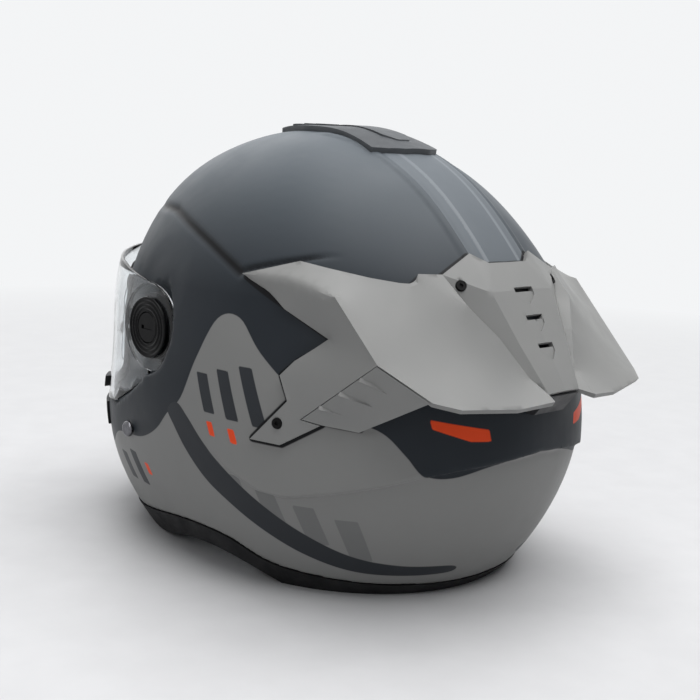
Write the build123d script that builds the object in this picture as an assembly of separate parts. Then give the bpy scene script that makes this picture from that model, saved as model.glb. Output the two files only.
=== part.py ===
from build123d import *
import math
import os

# Full-face road helmet with a rear spoiler. Front is -Y, the wearer's left is +X, up is +Z.
# Lengths are in millimetres and the shell stands on the plane Z = 0.

# Outer shell, a smooth egg described by level sections
SHELL_HEIGHT = 264.0
SHELL_HALF_WIDTH = 127.5
SHELL_FRONT_REACH = 173.0
SHELL_REAR_REACH = 169.5
SHELL_WALL = 4.0
LEVEL_SHARES = (0, 0.114, 0.227, 0.379, 0.530, 0.682, 0.795, 0.879, 0.939, 0.977, 1)
WIDTH_SHARES = (0.760, 0.890, 0.965, 1, 0.972, 0.890, 0.776, 0.635, 0.471, 0.314, 0.102)
FRONT_SHARES = (0.843, 0.960, 1, 0.974, 0.912, 0.838, 0.752, 0.641, 0.510, 0.370, 0.173)
REAR_SHARES = (0.735, 0.874, 0.956, 0.998, 0.960, 0.864, 0.715, 0.570, 0.421, 0.283, 0.115)
CENTRE_SHARES = (0.076, 0.077, 0.071, 0.066, 0.060, 0.042, 0.018, -0.011, -0.025, -0.032, -0.032)
WIDEST_LEVEL = 3
FRONT_ROUND_SHARE = 0.87
REAR_ROUND_SHARE = 0.952
SECTION_POINTS = 20

# Painted lower edge of the shell, seen from the side, as shares of reach and height
EDGE_SHARES = ((-1.10, 0.032), (-0.64, 0.040), (-0.35, 0.068), (-0.05, 0.098), (0.124, 0.098),
               (0.212, 0.088), (0.301, 0.063), (0.437, 0.045), (0.602, 0.033), (1.10, 0.022))

# Clearances
SEAT_GAP = 0.3
RUNNING_GAP = 0.1
VISOR_GAP = 1.5
CUT_MARGIN = 60.0
SPAN = SHELL_HALF_WIDTH + CUT_MARGIN
AHEAD = -SHELL_FRONT_REACH - CUT_MARGIN

# Base trim under the painted edge, with an arch at each side
TRIM_STAND_OUT = 0.8
TRIM_DEPTH = 8.0
ARCH_SHARES = ((-0.42, 0), (-0.30, 0.012), (-0.05, 0.050), (0.124, 0.050), (0.22, 0.036), (0.34, 0))

# Visor: clear shield of one thickness, turning about a pivot on each side
VISOR_THICKNESS = 2.2
PIVOT_Y_SHARE = -0.240
PIVOT_Z_SHARE = 0.534
VISOR_LEVEL_SHARES = (0.227, 0.379, 0.534, 0.682, 0.758, 0.833)
VISOR_WIDTH_SHARES = (0.933, 0.937, 0.929, 0.906, 0.847, 0.753)
VISOR_FRONT_SHARES = (0.965, 0.974, 0.954, 0.905, 0.853, 0.775)
VISOR_REAR_SHARE = 0.60
VISOR_ROUND_SHARE = 0.985
VISOR_TOP_SHARES = ((-0.211, 0.635), (-0.497, 0.667), (-1.10, 0.712))
VISOR_LOW_SHARES = ((-1.10, 0.290), (-0.694, 0.311), (-0.486, 0.330), (-0.353, 0.373), (-0.249, 0.415))
EAR_RADIUS = 27.0
EAR_FACE_X_SHARE = 0.927
RECESS_DEPTH = 4.4
RECESS_WALL = 3.6
RIM_OVERLAP = 5.0
VISOR_OPEN_ANGLE = 48.0
SWEEP_COUNT = 4
SWEEP_ANGLE = 6.0
SWEEP_LENGTH = 40.0
SWEEP_FLOOR = 16.0

# Eye port in the shell, seen from the side
PORT_SHARES = ((-1.10, 0.335), (-0.640, 0.345), (-0.455, 0.415), (-0.455, 0.600), (-0.640, 0.628),
               (-1.10, 0.665))
PORT_CORNER = 9.0
GASKET_LIP = 6.0
GASKET_THICKNESS = 1.2
GASKET_RISE = 1.2
GASKET_VISOR_GAP = 1.0

# Visor pivot: base disc and hub on the shell, ring on the visor, cap on the hub
PIVOT_BASE_RADIUS = 21.0
PIVOT_BASE_THICKNESS = 1.6
HUB_RADIUS = 7.0
RING_RADIUS = 19.0
RING_HEIGHT = 2.6
RING_ROUNDING = 1.1
CAP_RADIUS = 9.5
CAP_HEIGHT = 2.0
CAP_SLOT_WIDTH = 2.4
CAP_SLOT_DEPTH = 0.9
CAP_SLOT_SHARE = 0.6
POCKET_GAP = 1.4

# Inner anti-fog lens and its two pins
LENS_THICKNESS = 1.0
LENS_HALF_WIDTH_SHARE = 0.63
LENS_LOW_SHARE = 0.375
LENS_TOP_SHARE = 0.600
LENS_CORNER = 14.0
LENS_PIN_RADIUS = 3.0
LENS_PIN_Z_SHARE = 0.480
LENS_PIN_STAND_OUT = 1.2

# Finger tab at the left of the visor's lower edge
TAB_WIDTH = 13.0
TAB_HEIGHT = 7.0
TAB_STAND_OUT = 3.4
TAB_Y_SHARE = -0.745
TAB_Z_SHARE = 0.333

# Head space, and the liner round it
HEAD_HALF_WIDTH = 78.0
HEAD_FRONT_REACH = 99.0
HEAD_REAR_REACH = 101.0
HEAD_TOP = 224.0
HEAD_LEVEL_SHARES = (0, 0.20, 0.40, 0.58, 0.72, 0.85, 0.94, 0.985, 1)
HEAD_WIDTH_SHARES = (0.90, 0.95, 0.985, 1, 0.975, 0.86, 0.66, 0.42, 0.15)
COMFORT_THICKNESS = 10.0
CHEEK_REAR_SHARE = 0.10
CHEEK_TOP_SHARE = 0.405
CHEEK_LOW_SHARE = 0.105
CHEEK_FRONT_SHARE = -0.425
CHEEK_CORE_OUTER = 11.0
CHEEK_CORE_INNER = 38.0
CHEEK_INNER_X = 57.0
CHEEK_CORNER = 20.0
CHEEK_CROWN_SHARES = ((0, 0.72), (0.5, 0.93), (1.4, 1))
LINER_LOW_SHARE = 0.105
BROW_SHARE = 0.680
FACE_HALF_WIDTH = 74.0
CHIN_PAD_DEPTH = 26.0
CHIN_REAR_SHARE = -0.45
CHIN_TOP_SHARE = 0.268
THROAT_SHARE = 0.6
NECK_TOP_SHARE = 0.245
NECK_LIP = 6.0
NECK_FLOOR_SHARE = 0.028

# Strap, its rivets and the buckle
STRAP_WIDTH = 22.0
STRAP_THICKNESS = 2.0
STRAP_INSET = 8.8
STRAP_Y_SHARE = -0.341
STRAP_LEVEL = 3.0
RIVET_Z_SHARE = 0.281
RIVET_HEAD_RADIUS = 5.0
RIVET_HEAD_HEIGHT = 2.2
RIVET_SHANK_RADIUS = 2.4
RIVET_DOME_SHARE = 0.8
BUCKLE_LENGTH = 42.0
BUCKLE_WIDTH = 27.0
BUCKLE_HEIGHT = 8.0
BUCKLE_WALL = 1.6
BUCKLE_OFFSET = 6.0
LEVER_LENGTH = 30.0
LEVER_THICKNESS = 2.4
LEVER_WIDTH = 20.0
LEVER_PIN_RADIUS = 1.5
LEVER_AXIS_INSET = 4.5
LEVER_KNUCKLE_RADIUS = 2.9
LEVER_GRIP_SHARE = 0.7
TONGUE_LENGTH = 60.0
TONGUE_INSET = 9.0
TONGUE_THICKNESS = 2.2
TONGUE_WIDTH = 18.0
TONGUE_TOOTH_PITCH = 3.0
TONGUE_TEETH = 9
TONGUE_TOOTH_DEPTH = 0.7

# Chin curtain and breath guard
CURTAIN_THICKNESS = 1.6
CURTAIN_REAR_SHARE = -0.55
GUARD_HALF_WIDTH = 34.0
GUARD_HEIGHT = 26.0
GUARD_THICKNESS = 2.0
GUARD_INSET = 21.0
GUARD_SHOULDER_SHARES = (0.55, 0.75)

# Sill on the chin bar below the visor
SILL_RISE = 1.6
SILL_LOW_SHARE = 0.240
SILL_TOP_SHARE = 0.300
SILL_REAR_SHARE = -0.665

# Chin vent: cover with two slots, and a sliding shutter button
CHIN_VENT_RISE = 4.0
CHIN_VENT_SHARES = ((-0.34, 0.215), (-0.25, 0.135), (0.25, 0.135), (0.34, 0.215))
CHIN_VENT_CORNER = 5.0
CHIN_SLOT_WIDTH = 22.0
CHIN_SLOT_HEIGHT = 7.0
CHIN_SLOT_OFFSET = 23.0
CHIN_VENT_Z_SHARE = 0.178
CHIN_SHUTTER_WIDTH = 14.0
CHIN_SHUTTER_HEIGHT = 8.0
CHIN_SHUTTER_TRAVEL = 5.0
CHIN_SHUTTER_RISE = 2.4

# Top vent: housing on the crown with a sliding cover
TOP_VENT_RISE = 3.4
TOP_VENT_CORNER = 6.0
TOP_SLIDER_CORNER = 3.0
TOP_VENT_SHARES = ((-0.075, -0.30), (0.075, -0.30), (0.150, -0.10), (0.225, 0.32), (0.165, 0.40),
                   (0.080, 0.45), (-0.080, 0.45), (-0.165, 0.40), (-0.225, 0.32), (-0.150, -0.10))
TOP_SLIDER_SHARES = ((-0.055, -0.02), (0.055, -0.02), (0.085, 0.26), (0.040, 0.31), (-0.040, 0.31),
                     (-0.085, 0.26))
TOP_SLIDER_RISE = 2.2
TOP_SLIDER_FLOOR = 1.0
TOP_SLIDER_TRAVEL = 8.0
TRACK_CENTRE_SHARES = (0.059, 0.561)
TRACK_RADIUS_SHARE = 0.447
TOP_RIDGE_COUNT = 3
TOP_RIDGE_LENGTH = 3.0
TOP_RIDGE_PITCH = 11.0
TOP_RIDGE_HALF_WIDTH = 9.0
TOP_RIDGE_RISE = 1.2
TOP_RIDGE_START_SHARE = -0.23
TOP_HOLE_WIDTH = 10.0
TOP_HOLE_LENGTH = 26.0
TOP_HOLE_Y_SHARE = -0.11

# Spoiler: moulded panel of one wall, left half given, as shares of width, rear reach and height
SPOILER_WALL = 3.0
TIP_SHARES = (0.867, 0.685)
EDGE_TOP_SHARES = ((0.756, 0.722), (0.706, 0.712), (0.612, 0.698), (0.536, 0.691), (0.504, 0.690))
STRIP_TOP_SHARES = (0.461, 0.707)
STRIP_LIFT_SHARE = 1.3
RECESS_TOP_SHARES = (0.370, 0.708)
HORN_SHARES = (0.200, 0.748)
PANEL_TOP_SHARES = (0.126, 0.729)
FOLD_SHARES = ((0.880, 0.442, 0.697), (0.836, 0.650, 0.671), (0.679, 0.801, 0.613), (0.527, 0.934, 0.558),
               (0.447, 1.008, 0.522), (0.345, 1.112, 0.468))
TAIL_CORNER_SHARES = (0.627, 1.060, 0.477)
COVER_REAR_SHARES = (0.711, 0.998, 0.488)
COVER_TOP_SHARES = (0.820, 0.837, 0.551)
STRIP_SHARES = ((0.361, 0.882, 0.659), (0.257, 0.958, 0.595))
RECESS_SHARES = ((0.306, 0.861, 0.649), (0.229, 0.945, 0.588), (0.158, 1.035, 0.513), (0.145, 1.133, 0.475))
PANEL_SHARES = ((0.211, 0.889, 0.681), (0.162, 0.988, 0.578), (0.107, 1.085, 0.483))
RIDGE_SHARES = (0.006, 0.003)
SIDE_EDGE_SHARES = ((0.842, 0.626), (0.778, 0.576))
LUG_SHARES = ((0.813, 0.556), (0.861, 0.527), (0.895, 0.495), (0.891, 0.445), (0.950, 0.355), (0.905, 0.353))
COVER_LOW_SHARES = ((0.871, 0.411), (0.830, 0.404), (0.741, 0.396))
LUG_STAND_OFF = 3.4
COVER_SHRINK_SHARE = 0.034
COVER_WALL = 2.6
RIB_COUNT = 3
RIB_START_SHARE = 0.22
RIB_STEP_SHARE = 0.27
RIB_LENGTH_SHARE = 0.62
RIB_HEIGHT = 2.4
RIB_WIDTH = 4.4
RIB_CREST_SHARE = 0.04
PANEL_SLOT_COUNT = 3
PANEL_SLOT_TOP_SHARE = 0.685
PANEL_SLOT_STEP_SHARE = 0.055
PANEL_SLOT_WIDTH = 16.0
PANEL_SLOT_NARROWING = 1.6
PANEL_SLOT_HEIGHT = 2.6
DIMPLE_DROP = 9.0
DIMPLE_SHOULDER = 4.0
DIMPLE_DEPTH = 1.3
DIMPLE_SIDE_SHARE = 0.95
DIMPLE_POINT_SHARE = 0.15

# Bracket that carries the spoiler's tail
BRACKET_HALF_WIDTH = 13.0
BRACKET_SHARES = ((0.92, 0.430), (1.03, 0.432), (1.085, 0.476), (1.02, 0.500), (0.90, 0.500))

# Screws that hold the spoiler
SCREW_HEAD_RADIUS = 3.0
SCREW_HEAD_HEIGHT = 1.8
SCREW_SHANK_RADIUS = 1.6
SCREW_SOCKET_RADIUS = 1.3
SCREW_HOLE_GAP = 0.25
LUG_SCREW_SHARES = (0.912, 0.397)
TOP_SCREW_SHARES = (0.312, 0.688)


def reach(share):
    """Place along Y from a share of the front or rear reach."""
    return share * (SHELL_REAR_REACH if share > 0 else SHELL_FRONT_REACH)


def place(x_share, y_share, z_share):
    """Point from shares of the shell's half width, reach and height."""
    return Vector(x_share * SHELL_HALF_WIDTH, reach(y_share), z_share * SHELL_HEIGHT)


def signed_power(value, power):
    """Power of a size that keeps the sign of the value."""
    return math.copysign(abs(value) ** power, value)


def level_ring(height, half_width, front, rear, centre, front_round, rear_round):
    """Closed level section: one rounded half to the front, another to the rear."""
    points = []
    for step in range(SECTION_POINTS):
        turn = 2 * math.pi * step / SECTION_POINTS
        back = math.cos(turn) > 0
        power = rear_round if back else front_round
        run = rear - centre if back else centre - front
        x = half_width * signed_power(math.sin(turn), power)
        y = centre + run * signed_power(math.cos(turn), power)
        points.append((x, y, height))
    return Wire([Edge.make_spline(points, periodic=True)])


def egg(inset=0):
    """Solid of the shell's outer form, drawn in by inset (or grown, if it is negative)."""
    widest = LEVEL_SHARES[WIDEST_LEVEL] * SHELL_HEIGHT
    shrink = 1 - inset / (SHELL_HEIGHT - widest)
    side = 1 - inset / SHELL_HALF_WIDTH
    rings = []
    for level, width, front, rear, middle in zip(LEVEL_SHARES, WIDTH_SHARES, FRONT_SHARES, REAR_SHARES,
                                                 CENTRE_SHARES):
        height = level * SHELL_HEIGHT
        half_width = width * SHELL_HALF_WIDTH
        centre = middle * SHELL_REAR_REACH
        ahead = front * SHELL_FRONT_REACH + centre
        behind = rear * SHELL_REAR_REACH - centre
        if height > widest:
            height = widest + (height - widest) * shrink
            half_width = half_width * side
            ahead = ahead * (1 - inset / SHELL_FRONT_REACH)
            behind = behind * (1 - inset / SHELL_REAR_REACH)
        else:
            half_width = half_width - inset
            ahead = ahead - inset
            behind = behind - inset
        rings.append(level_ring(height, half_width, centre - ahead, centre + behind, centre,
                                FRONT_ROUND_SHARE, REAR_ROUND_SHARE))
    return Solid.make_loft(rings)


def visor_form(inset=0):
    """Solid whose front face is the visor's outer face, drawn in by inset."""
    rings = []
    for level, width, front in zip(VISOR_LEVEL_SHARES, VISOR_WIDTH_SHARES, VISOR_FRONT_SHARES):
        behind = VISOR_REAR_SHARE * SHELL_REAR_REACH - inset
        rings.append(level_ring(level * SHELL_HEIGHT, width * SHELL_HALF_WIDTH - inset,
                                inset - front * SHELL_FRONT_REACH, behind, reach(PIVOT_Y_SHARE),
                                VISOR_ROUND_SHARE, VISOR_ROUND_SHARE))
    return Solid.make_loft(rings)


def head_form(inset=0):
    """Solid of the space for the head, drawn in by inset."""
    rings = []
    for level, width in zip(HEAD_LEVEL_SHARES, HEAD_WIDTH_SHARES):
        grow = 1 - inset / HEAD_HALF_WIDTH
        height = level * (HEAD_TOP - inset)
        rings.append(level_ring(height, width * HEAD_HALF_WIDTH * grow,
                                -width * HEAD_FRONT_REACH * (1 - inset / HEAD_FRONT_REACH),
                                width * HEAD_REAR_REACH * (1 - inset / HEAD_REAR_REACH), 0, 1, 1))
    return Solid.make_loft(rings)


def blend_table(values, height):
    """Value of a shell table at a height, on a smooth curve through its levels."""
    share = height / SHELL_HEIGHT
    index = 0
    while index < len(LEVEL_SHARES) - 2 and LEVEL_SHARES[index + 1] < share:
        index += 1

    def slope(at):
        low = max(at - 1, 0)
        high = min(at + 1, len(values) - 1)
        return (values[high] - values[low]) / (LEVEL_SHARES[high] - LEVEL_SHARES[low])

    span = LEVEL_SHARES[index + 1] - LEVEL_SHARES[index]
    t = (share - LEVEL_SHARES[index]) / span
    start, end = values[index], values[index + 1]
    rise_start, rise_end = slope(index) * span, slope(index + 1) * span
    return (start * (1 + 2 * t) * (1 - t) ** 2 + end * t * t * (3 - 2 * t)
            + rise_start * t * (1 - t) ** 2 - rise_end * t * t * (1 - t))


def shell_y(x, height, rear=True):
    """Y of the shell's outer face at a side place and a height."""
    half_width = blend_table(WIDTH_SHARES, height) * SHELL_HALF_WIDTH
    centre = blend_table(CENTRE_SHARES, height) * SHELL_REAR_REACH
    power = 1 / (REAR_ROUND_SHARE if rear else FRONT_ROUND_SHARE)
    across = min(abs(x) / half_width, 1)
    along = max(1 - across ** (2 * power), 0) ** (1 / (2 * power))
    if rear:
        return centre + (blend_table(REAR_SHARES, height) * SHELL_REAR_REACH - centre) * along
    return centre - (blend_table(FRONT_SHARES, height) * SHELL_FRONT_REACH + centre) * along


def shell_normal(x, height, rear=True):
    """Outward direction of the shell's outer face."""
    step = SHELL_WALL
    here = shell_y(x, height, rear)
    across = shell_y(x - math.copysign(step, x), height, rear) - here
    up = shell_y(x, height + step, rear) - here
    side = math.copysign(across / step, x) if rear else math.copysign(-across / step, x)
    normal = Vector(side, 1, -up / step) if rear else Vector(side, -1, up / step)
    return normal.normalized()


def on_shell(x_share, z_share, stand_off=0, rear=True):
    """Point on the shell's outer face, or stand_off above it."""
    x = x_share * SHELL_HALF_WIDTH
    height = z_share * SHELL_HEIGHT
    return Vector(x, shell_y(x, height, rear), height) + shell_normal(x, height, rear) * stand_off


def side_prism(shares, corner=0):
    """Prism through the whole width, its outline given in the side view."""
    face = Plane.YZ * make_face(Polyline(*[(reach(y), z * SHELL_HEIGHT) for y, z in shares], close=True))
    if corner:
        face = Plane.YZ * fillet(Plane.YZ.to_local_coords(face).vertices(), corner)
    return extrude(face, amount=SPAN, both=True)


def below_edge(drop=0):
    """Everything under the painted lower edge of the shell."""
    curve = Spline(*[(reach(y), z * SHELL_HEIGHT - drop) for y, z in EDGE_SHARES])
    first, last = curve @ 0, curve @ 1
    rest = Polyline(last, (last.X, -CUT_MARGIN), (first.X, -CUT_MARGIN), first)
    return extrude(Plane.YZ * make_face(curve + rest), amount=SPAN, both=True)


def block(x0, x1, y0, y1, z0, z1):
    """Box between two corners."""
    return Pos((x0 + x1) / 2, (y0 + y1) / 2, (z0 + z1) / 2) * Box(x1 - x0, y1 - y0, z1 - z0)


def pivot_disc(radius, x0, x1):
    """Round disc on the visor's axis, between two places on the left side."""
    centre = Vector(0, reach(PIVOT_Y_SHARE), PIVOT_Z_SHARE * SHELL_HEIGHT)
    return Plane(origin=centre + Vector(x0, 0, 0), z_dir=(1, 0, 0)) * extrude(Circle(radius), x1 - x0)


def both_sides(shape):
    """The shape and its mirror image."""
    return shape + mirror(shape, about=Plane.YZ)


def grown_outline(points, growth):
    """Side-view outline of the visor, grown outward by a gap."""
    face = make_face(Polyline(*[(reach(y), z * SHELL_HEIGHT) for y, z in points], close=True))
    face = face + Pos(reach(PIVOT_Y_SHARE), PIVOT_Z_SHARE * SHELL_HEIGHT) * Circle(EAR_RADIUS)
    if growth:
        face = offset(face, growth)
    return extrude(Plane.YZ * face, amount=SPAN, both=True)


def visor_prism(growth=0):
    """Prism of the visor's side-view outline."""
    return grown_outline(VISOR_TOP_SHARES + VISOR_LOW_SHARES, growth)


OUTER = egg()
INNER = egg(SHELL_WALL)
EAR_OUT = EAR_FACE_X_SHARE * SHELL_HALF_WIDTH
EAR_IN = EAR_OUT - VISOR_THICKNESS
POCKET_FLOOR = EAR_IN - POCKET_GAP - PIVOT_BASE_THICKNESS
POCKET_BACK = POCKET_FLOOR - RECESS_WALL + VISOR_GAP
BELOW = below_edge()
PORT = side_prism(PORT_SHARES, PORT_CORNER)


def recess_zone(extra=0):
    """Space inside the shell that the thick rim round the visor takes up."""
    rim = visor_prism(VISOR_GAP + RIM_OVERLAP) - visor_form(RECESS_DEPTH + RECESS_WALL + extra)
    radius = EAR_RADIUS + VISOR_GAP + RIM_OVERLAP
    return rim + both_sides(pivot_disc(radius, POCKET_BACK - extra, SHELL_HALF_WIDTH))


def screw_frame(shares):
    """Plane on the shell at a screw, with its axis outward, on the left side."""
    x = shares[0] * SHELL_HALF_WIDTH
    height = shares[1] * SHELL_HEIGHT
    return Plane(origin=on_shell(*shares), z_dir=shell_normal(x, height))


def rivet_bore():
    """Straight bore for the strap rivets, through both sides."""
    frame = Plane(origin=(0, reach(STRAP_Y_SHARE), RIVET_Z_SHARE * SHELL_HEIGHT), z_dir=(1, 0, 0))
    return frame * extrude(Circle(RIVET_SHANK_RADIUS + RUNNING_GAP), SPAN, both=True)


def visor_sweep():
    """Space that the left rear corner of the shield passes through as it opens."""
    centre = Vector(0, reach(PIVOT_Y_SHARE), PIVOT_Z_SHARE * SHELL_HEIGHT)
    layer = visor_form(-RUNNING_GAP) - visor_form(VISOR_THICKNESS + SEAT_GAP)
    corner = layer & visor_prism(SEAT_GAP)
    corner = corner & block(0, SPAN, centre.Y - SWEEP_LENGTH, centre.Y + EAR_RADIUS, centre.Z + SWEEP_FLOOR,
                            centre.Z + SWEEP_LENGTH)
    axis = Axis(centre, (-1, 0, 0))
    swept = corner.rotate(axis, VISOR_OPEN_ANGLE)
    for step in range(1, SWEEP_COUNT):
        swept = swept + corner.rotate(axis, VISOR_OPEN_ANGLE - step * SWEEP_ANGLE)
    return swept


def outer_shell():
    """Moulded shell with eye port, visor recess, vent holes and screw holes."""
    zone = recess_zone()
    shell = OUTER - (INNER - zone)
    shell = shell - (visor_prism(VISOR_GAP) - visor_form(RECESS_DEPTH))
    shell = shell - both_sides(pivot_disc(EAR_RADIUS + VISOR_GAP, POCKET_FLOOR, SPAN))
    shell = shell - both_sides(visor_sweep())
    shell = shell - PORT - BELOW
    shell = shell - rivet_bore()
    hole_y = reach(TOP_HOLE_Y_SHARE)
    shell = shell - block(-TOP_HOLE_WIDTH / 2, TOP_HOLE_WIDTH / 2, hole_y - TOP_HOLE_LENGTH / 2,
                          hole_y + TOP_HOLE_LENGTH / 2, SHELL_HEIGHT - CUT_MARGIN, SHELL_HEIGHT + CUT_MARGIN)
    shell = shell - chin_slots()
    hole = Circle(SCREW_SHANK_RADIUS + RUNNING_GAP)
    for shares in (LUG_SCREW_SHARES, TOP_SCREW_SHARES):
        shell = shell - both_sides(screw_frame(shares) * extrude(hole, SHELL_WALL * 2, both=True))
    return shell


def base_trim():
    """Rubber edge that the helmet stands on, arched up a little at each side."""
    ring = egg(-TRIM_STAND_OUT) - egg(TRIM_DEPTH)
    curve = Spline(*[(reach(y), z * SHELL_HEIGHT) for y, z in ARCH_SHARES])
    arch = make_face(curve + Line(curve @ 1, curve @ 0))
    return (ring & BELOW) - extrude(Plane.YZ * arch, amount=SPAN, both=True)


def visor():
    """Clear shield with a flat round ear at each pivot and a hole for the hub."""
    shield = (visor_form() - visor_form(VISOR_THICKNESS)) & visor_prism()
    shield = shield & block(-SHELL_HALF_WIDTH, SHELL_HALF_WIDTH, -SHELL_FRONT_REACH,
                            reach(PIVOT_Y_SHARE) + EAR_RADIUS, 0, SHELL_HEIGHT)
    shield = shield - both_sides(pivot_disc(EAR_RADIUS, 0, SHELL_HALF_WIDTH))
    shield = shield + both_sides(pivot_disc(EAR_RADIUS, EAR_IN, EAR_OUT))
    shield = shield - both_sides(pivot_disc(HUB_RADIUS + RUNNING_GAP, 0, SHELL_HALF_WIDTH))
    return shield - both_sides(lens_pin_rod(RUNNING_GAP))


def eye_gasket():
    """Rubber edge round the eye port: a lip on the shell and a lining through its wall."""
    outline = make_face(Polyline(*[(reach(y), z * SHELL_HEIGHT) for y, z in PORT_SHARES], close=True))
    outline = fillet(outline.vertices(), PORT_CORNER)
    wide = extrude(Plane.YZ * offset(outline, GASKET_LIP), amount=SPAN, both=True)
    middle = extrude(Plane.YZ * offset(outline, -RUNNING_GAP), amount=SPAN, both=True)
    narrow = extrude(Plane.YZ * offset(outline, -GASKET_THICKNESS), amount=SPAN, both=True)
    cap = egg(-GASKET_RISE) & visor_form(VISOR_THICKNESS + GASKET_VISOR_GAP)
    cap = cap & block(-SPAN, SPAN, -SHELL_FRONT_REACH, reach(PIVOT_Y_SHARE), 0, SHELL_HEIGHT)
    lip = (cap & wide & visor_prism()) - (egg(-RUNNING_GAP) & visor_form(RECESS_DEPTH - RUNNING_GAP))
    lining = (cap & middle) - (INNER & visor_form(RECESS_DEPTH + RECESS_WALL))
    return lip + lining - narrow


def pivot_base():
    """Fixed disc under the visor's ear, with the hub that the visor turns on."""
    disc = pivot_disc(PIVOT_BASE_RADIUS, POCKET_FLOOR, POCKET_FLOOR + PIVOT_BASE_THICKNESS)
    return disc + pivot_disc(HUB_RADIUS, POCKET_FLOOR, EAR_OUT + RUNNING_GAP * 2)


def pivot_ring():
    """Glossy ring on the visor's ear, round the hub's cap."""
    ring = pivot_disc(RING_RADIUS, EAR_OUT, EAR_OUT + RING_HEIGHT)
    ring = fillet(ring.edges().filter_by(GeomType.CIRCLE).sort_by(Axis.X)[-1:], RING_ROUNDING)
    return ring - pivot_disc(CAP_RADIUS + SEAT_GAP, EAR_OUT, EAR_OUT + RING_HEIGHT)


def pivot_cap():
    """Slotted cap that closes the hub."""
    floor = EAR_OUT + RUNNING_GAP * 2
    cap = pivot_disc(CAP_RADIUS, floor, floor + CAP_HEIGHT)
    cap = chamfer(cap.edges().filter_by(GeomType.CIRCLE).sort_by(Axis.X)[-1:], CAP_SLOT_DEPTH / 2)
    pivot_y = reach(PIVOT_Y_SHARE)
    pivot_z = PIVOT_Z_SHARE * SHELL_HEIGHT
    half = CAP_RADIUS * CAP_SLOT_SHARE
    top = floor + CAP_HEIGHT
    return cap - block(top - CAP_SLOT_DEPTH, top + CAP_HEIGHT, pivot_y - half, pivot_y + half,
                       pivot_z - CAP_SLOT_WIDTH / 2, pivot_z + CAP_SLOT_WIDTH / 2)


def anti_fog_lens():
    """Thin lens inside the visor, seated on its pins."""
    half = LENS_HALF_WIDTH_SHARE * SHELL_HALF_WIDTH
    low = LENS_LOW_SHARE * SHELL_HEIGHT
    top = LENS_TOP_SHARE * SHELL_HEIGHT
    start = VISOR_THICKNESS + SEAT_GAP
    layer = visor_form(start) - visor_form(start + LENS_THICKNESS)
    outline = Pos(0, (low + top) / 2) * RectangleRounded(2 * half, top - low, LENS_CORNER)
    window = extrude(Plane.XZ * outline, amount=SHELL_FRONT_REACH + CUT_MARGIN)
    return layer & window


def lens_pin_rod(gap=0):
    """Straight rod along the left lens pin."""
    x = LENS_HALF_WIDTH_SHARE * SHELL_HALF_WIDTH + LENS_PIN_RADIUS
    pin = Plane.XZ * Pos(x, LENS_PIN_Z_SHARE * SHELL_HEIGHT) * Circle(LENS_PIN_RADIUS + gap)
    return extrude(pin, amount=SHELL_FRONT_REACH + CUT_MARGIN)


def lens_pins():
    """Two round pins through the visor that hold the lens."""
    layer = visor_form(-LENS_PIN_STAND_OUT) - visor_form(VISOR_THICKNESS + SEAT_GAP + LENS_THICKNESS)
    return both_sides(lens_pin_rod() & layer)


def visor_tab():
    """Finger tab on the outside of the visor, at the left of its lower edge."""
    y = reach(TAB_Y_SHARE)
    z = TAB_Z_SHARE * SHELL_HEIGHT
    layer = visor_form(-TAB_STAND_OUT) - visor_form()
    return layer & block(0, SPAN, y - TAB_WIDTH / 2, y + TAB_WIDTH / 2, z, z + TAB_HEIGHT)


def cheek_box(gap=0):
    """Space on both sides that the cheek cores and pads take up."""
    return block(-SPAN, SPAN, AHEAD, reach(CHEEK_REAR_SHARE) + gap,
                 -CUT_MARGIN, CHEEK_TOP_SHARE * SHELL_HEIGHT + gap)


def face_window():
    """Space in front of the face, under the brow."""
    side = FACE_HALF_WIDTH + COMFORT_THICKNESS
    return block(-side, side, AHEAD, -HEAD_FRONT_REACH / 3, -CUT_MARGIN,
                 BROW_SHARE * SHELL_HEIGHT)


def impact_liner():
    """Foam liner of the crown, sides and rear."""
    liner = egg(SHELL_WALL + SEAT_GAP) - head_form(-COMFORT_THICKNESS)
    liner = liner - recess_zone(SEAT_GAP) - cheek_box(SEAT_GAP) - face_window()
    brow = side_prism(PORT_SHARES + ((-1.10, 0.55),))
    liner = liner - (brow & block(-SPAN, SPAN, AHEAD, reach(PORT_SHARES[3][0]), 0, SHELL_HEIGHT))
    floor = LINER_LOW_SHARE * SHELL_HEIGHT
    return liner - block(-SPAN, SPAN, AHEAD, SPAN * 2, -CUT_MARGIN, floor)


def crown_liner():
    """Comfort liner against the head: crown, temples and back of the head."""
    pad = head_form(SEAT_GAP - COMFORT_THICKNESS) - head_form()
    pad = pad - cheek_box(SEAT_GAP) - face_window()
    return pad - block(-SPAN, SPAN, AHEAD, SPAN * 2, -CUT_MARGIN, NECK_TOP_SHARE * SHELL_HEIGHT + SEAT_GAP)


def neck_roll():
    """Padded collar round the back of the neck, closing the liner's lower end."""
    rear = block(-SPAN, SPAN, reach(CHEEK_REAR_SHARE) + SEAT_GAP, SPAN * 2, NECK_FLOOR_SHARE * SHELL_HEIGHT,
                 NECK_TOP_SHARE * SHELL_HEIGHT)
    low = block(-SPAN, SPAN, 0, SPAN * 2, 0, LINER_LOW_SHARE * SHELL_HEIGHT - SEAT_GAP)
    collar = (rear & head_form(SEAT_GAP - COMFORT_THICKNESS)) + ((rear & low) & egg(TRIM_DEPTH + SEAT_GAP))
    return collar - head_form(NECK_LIP)


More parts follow.
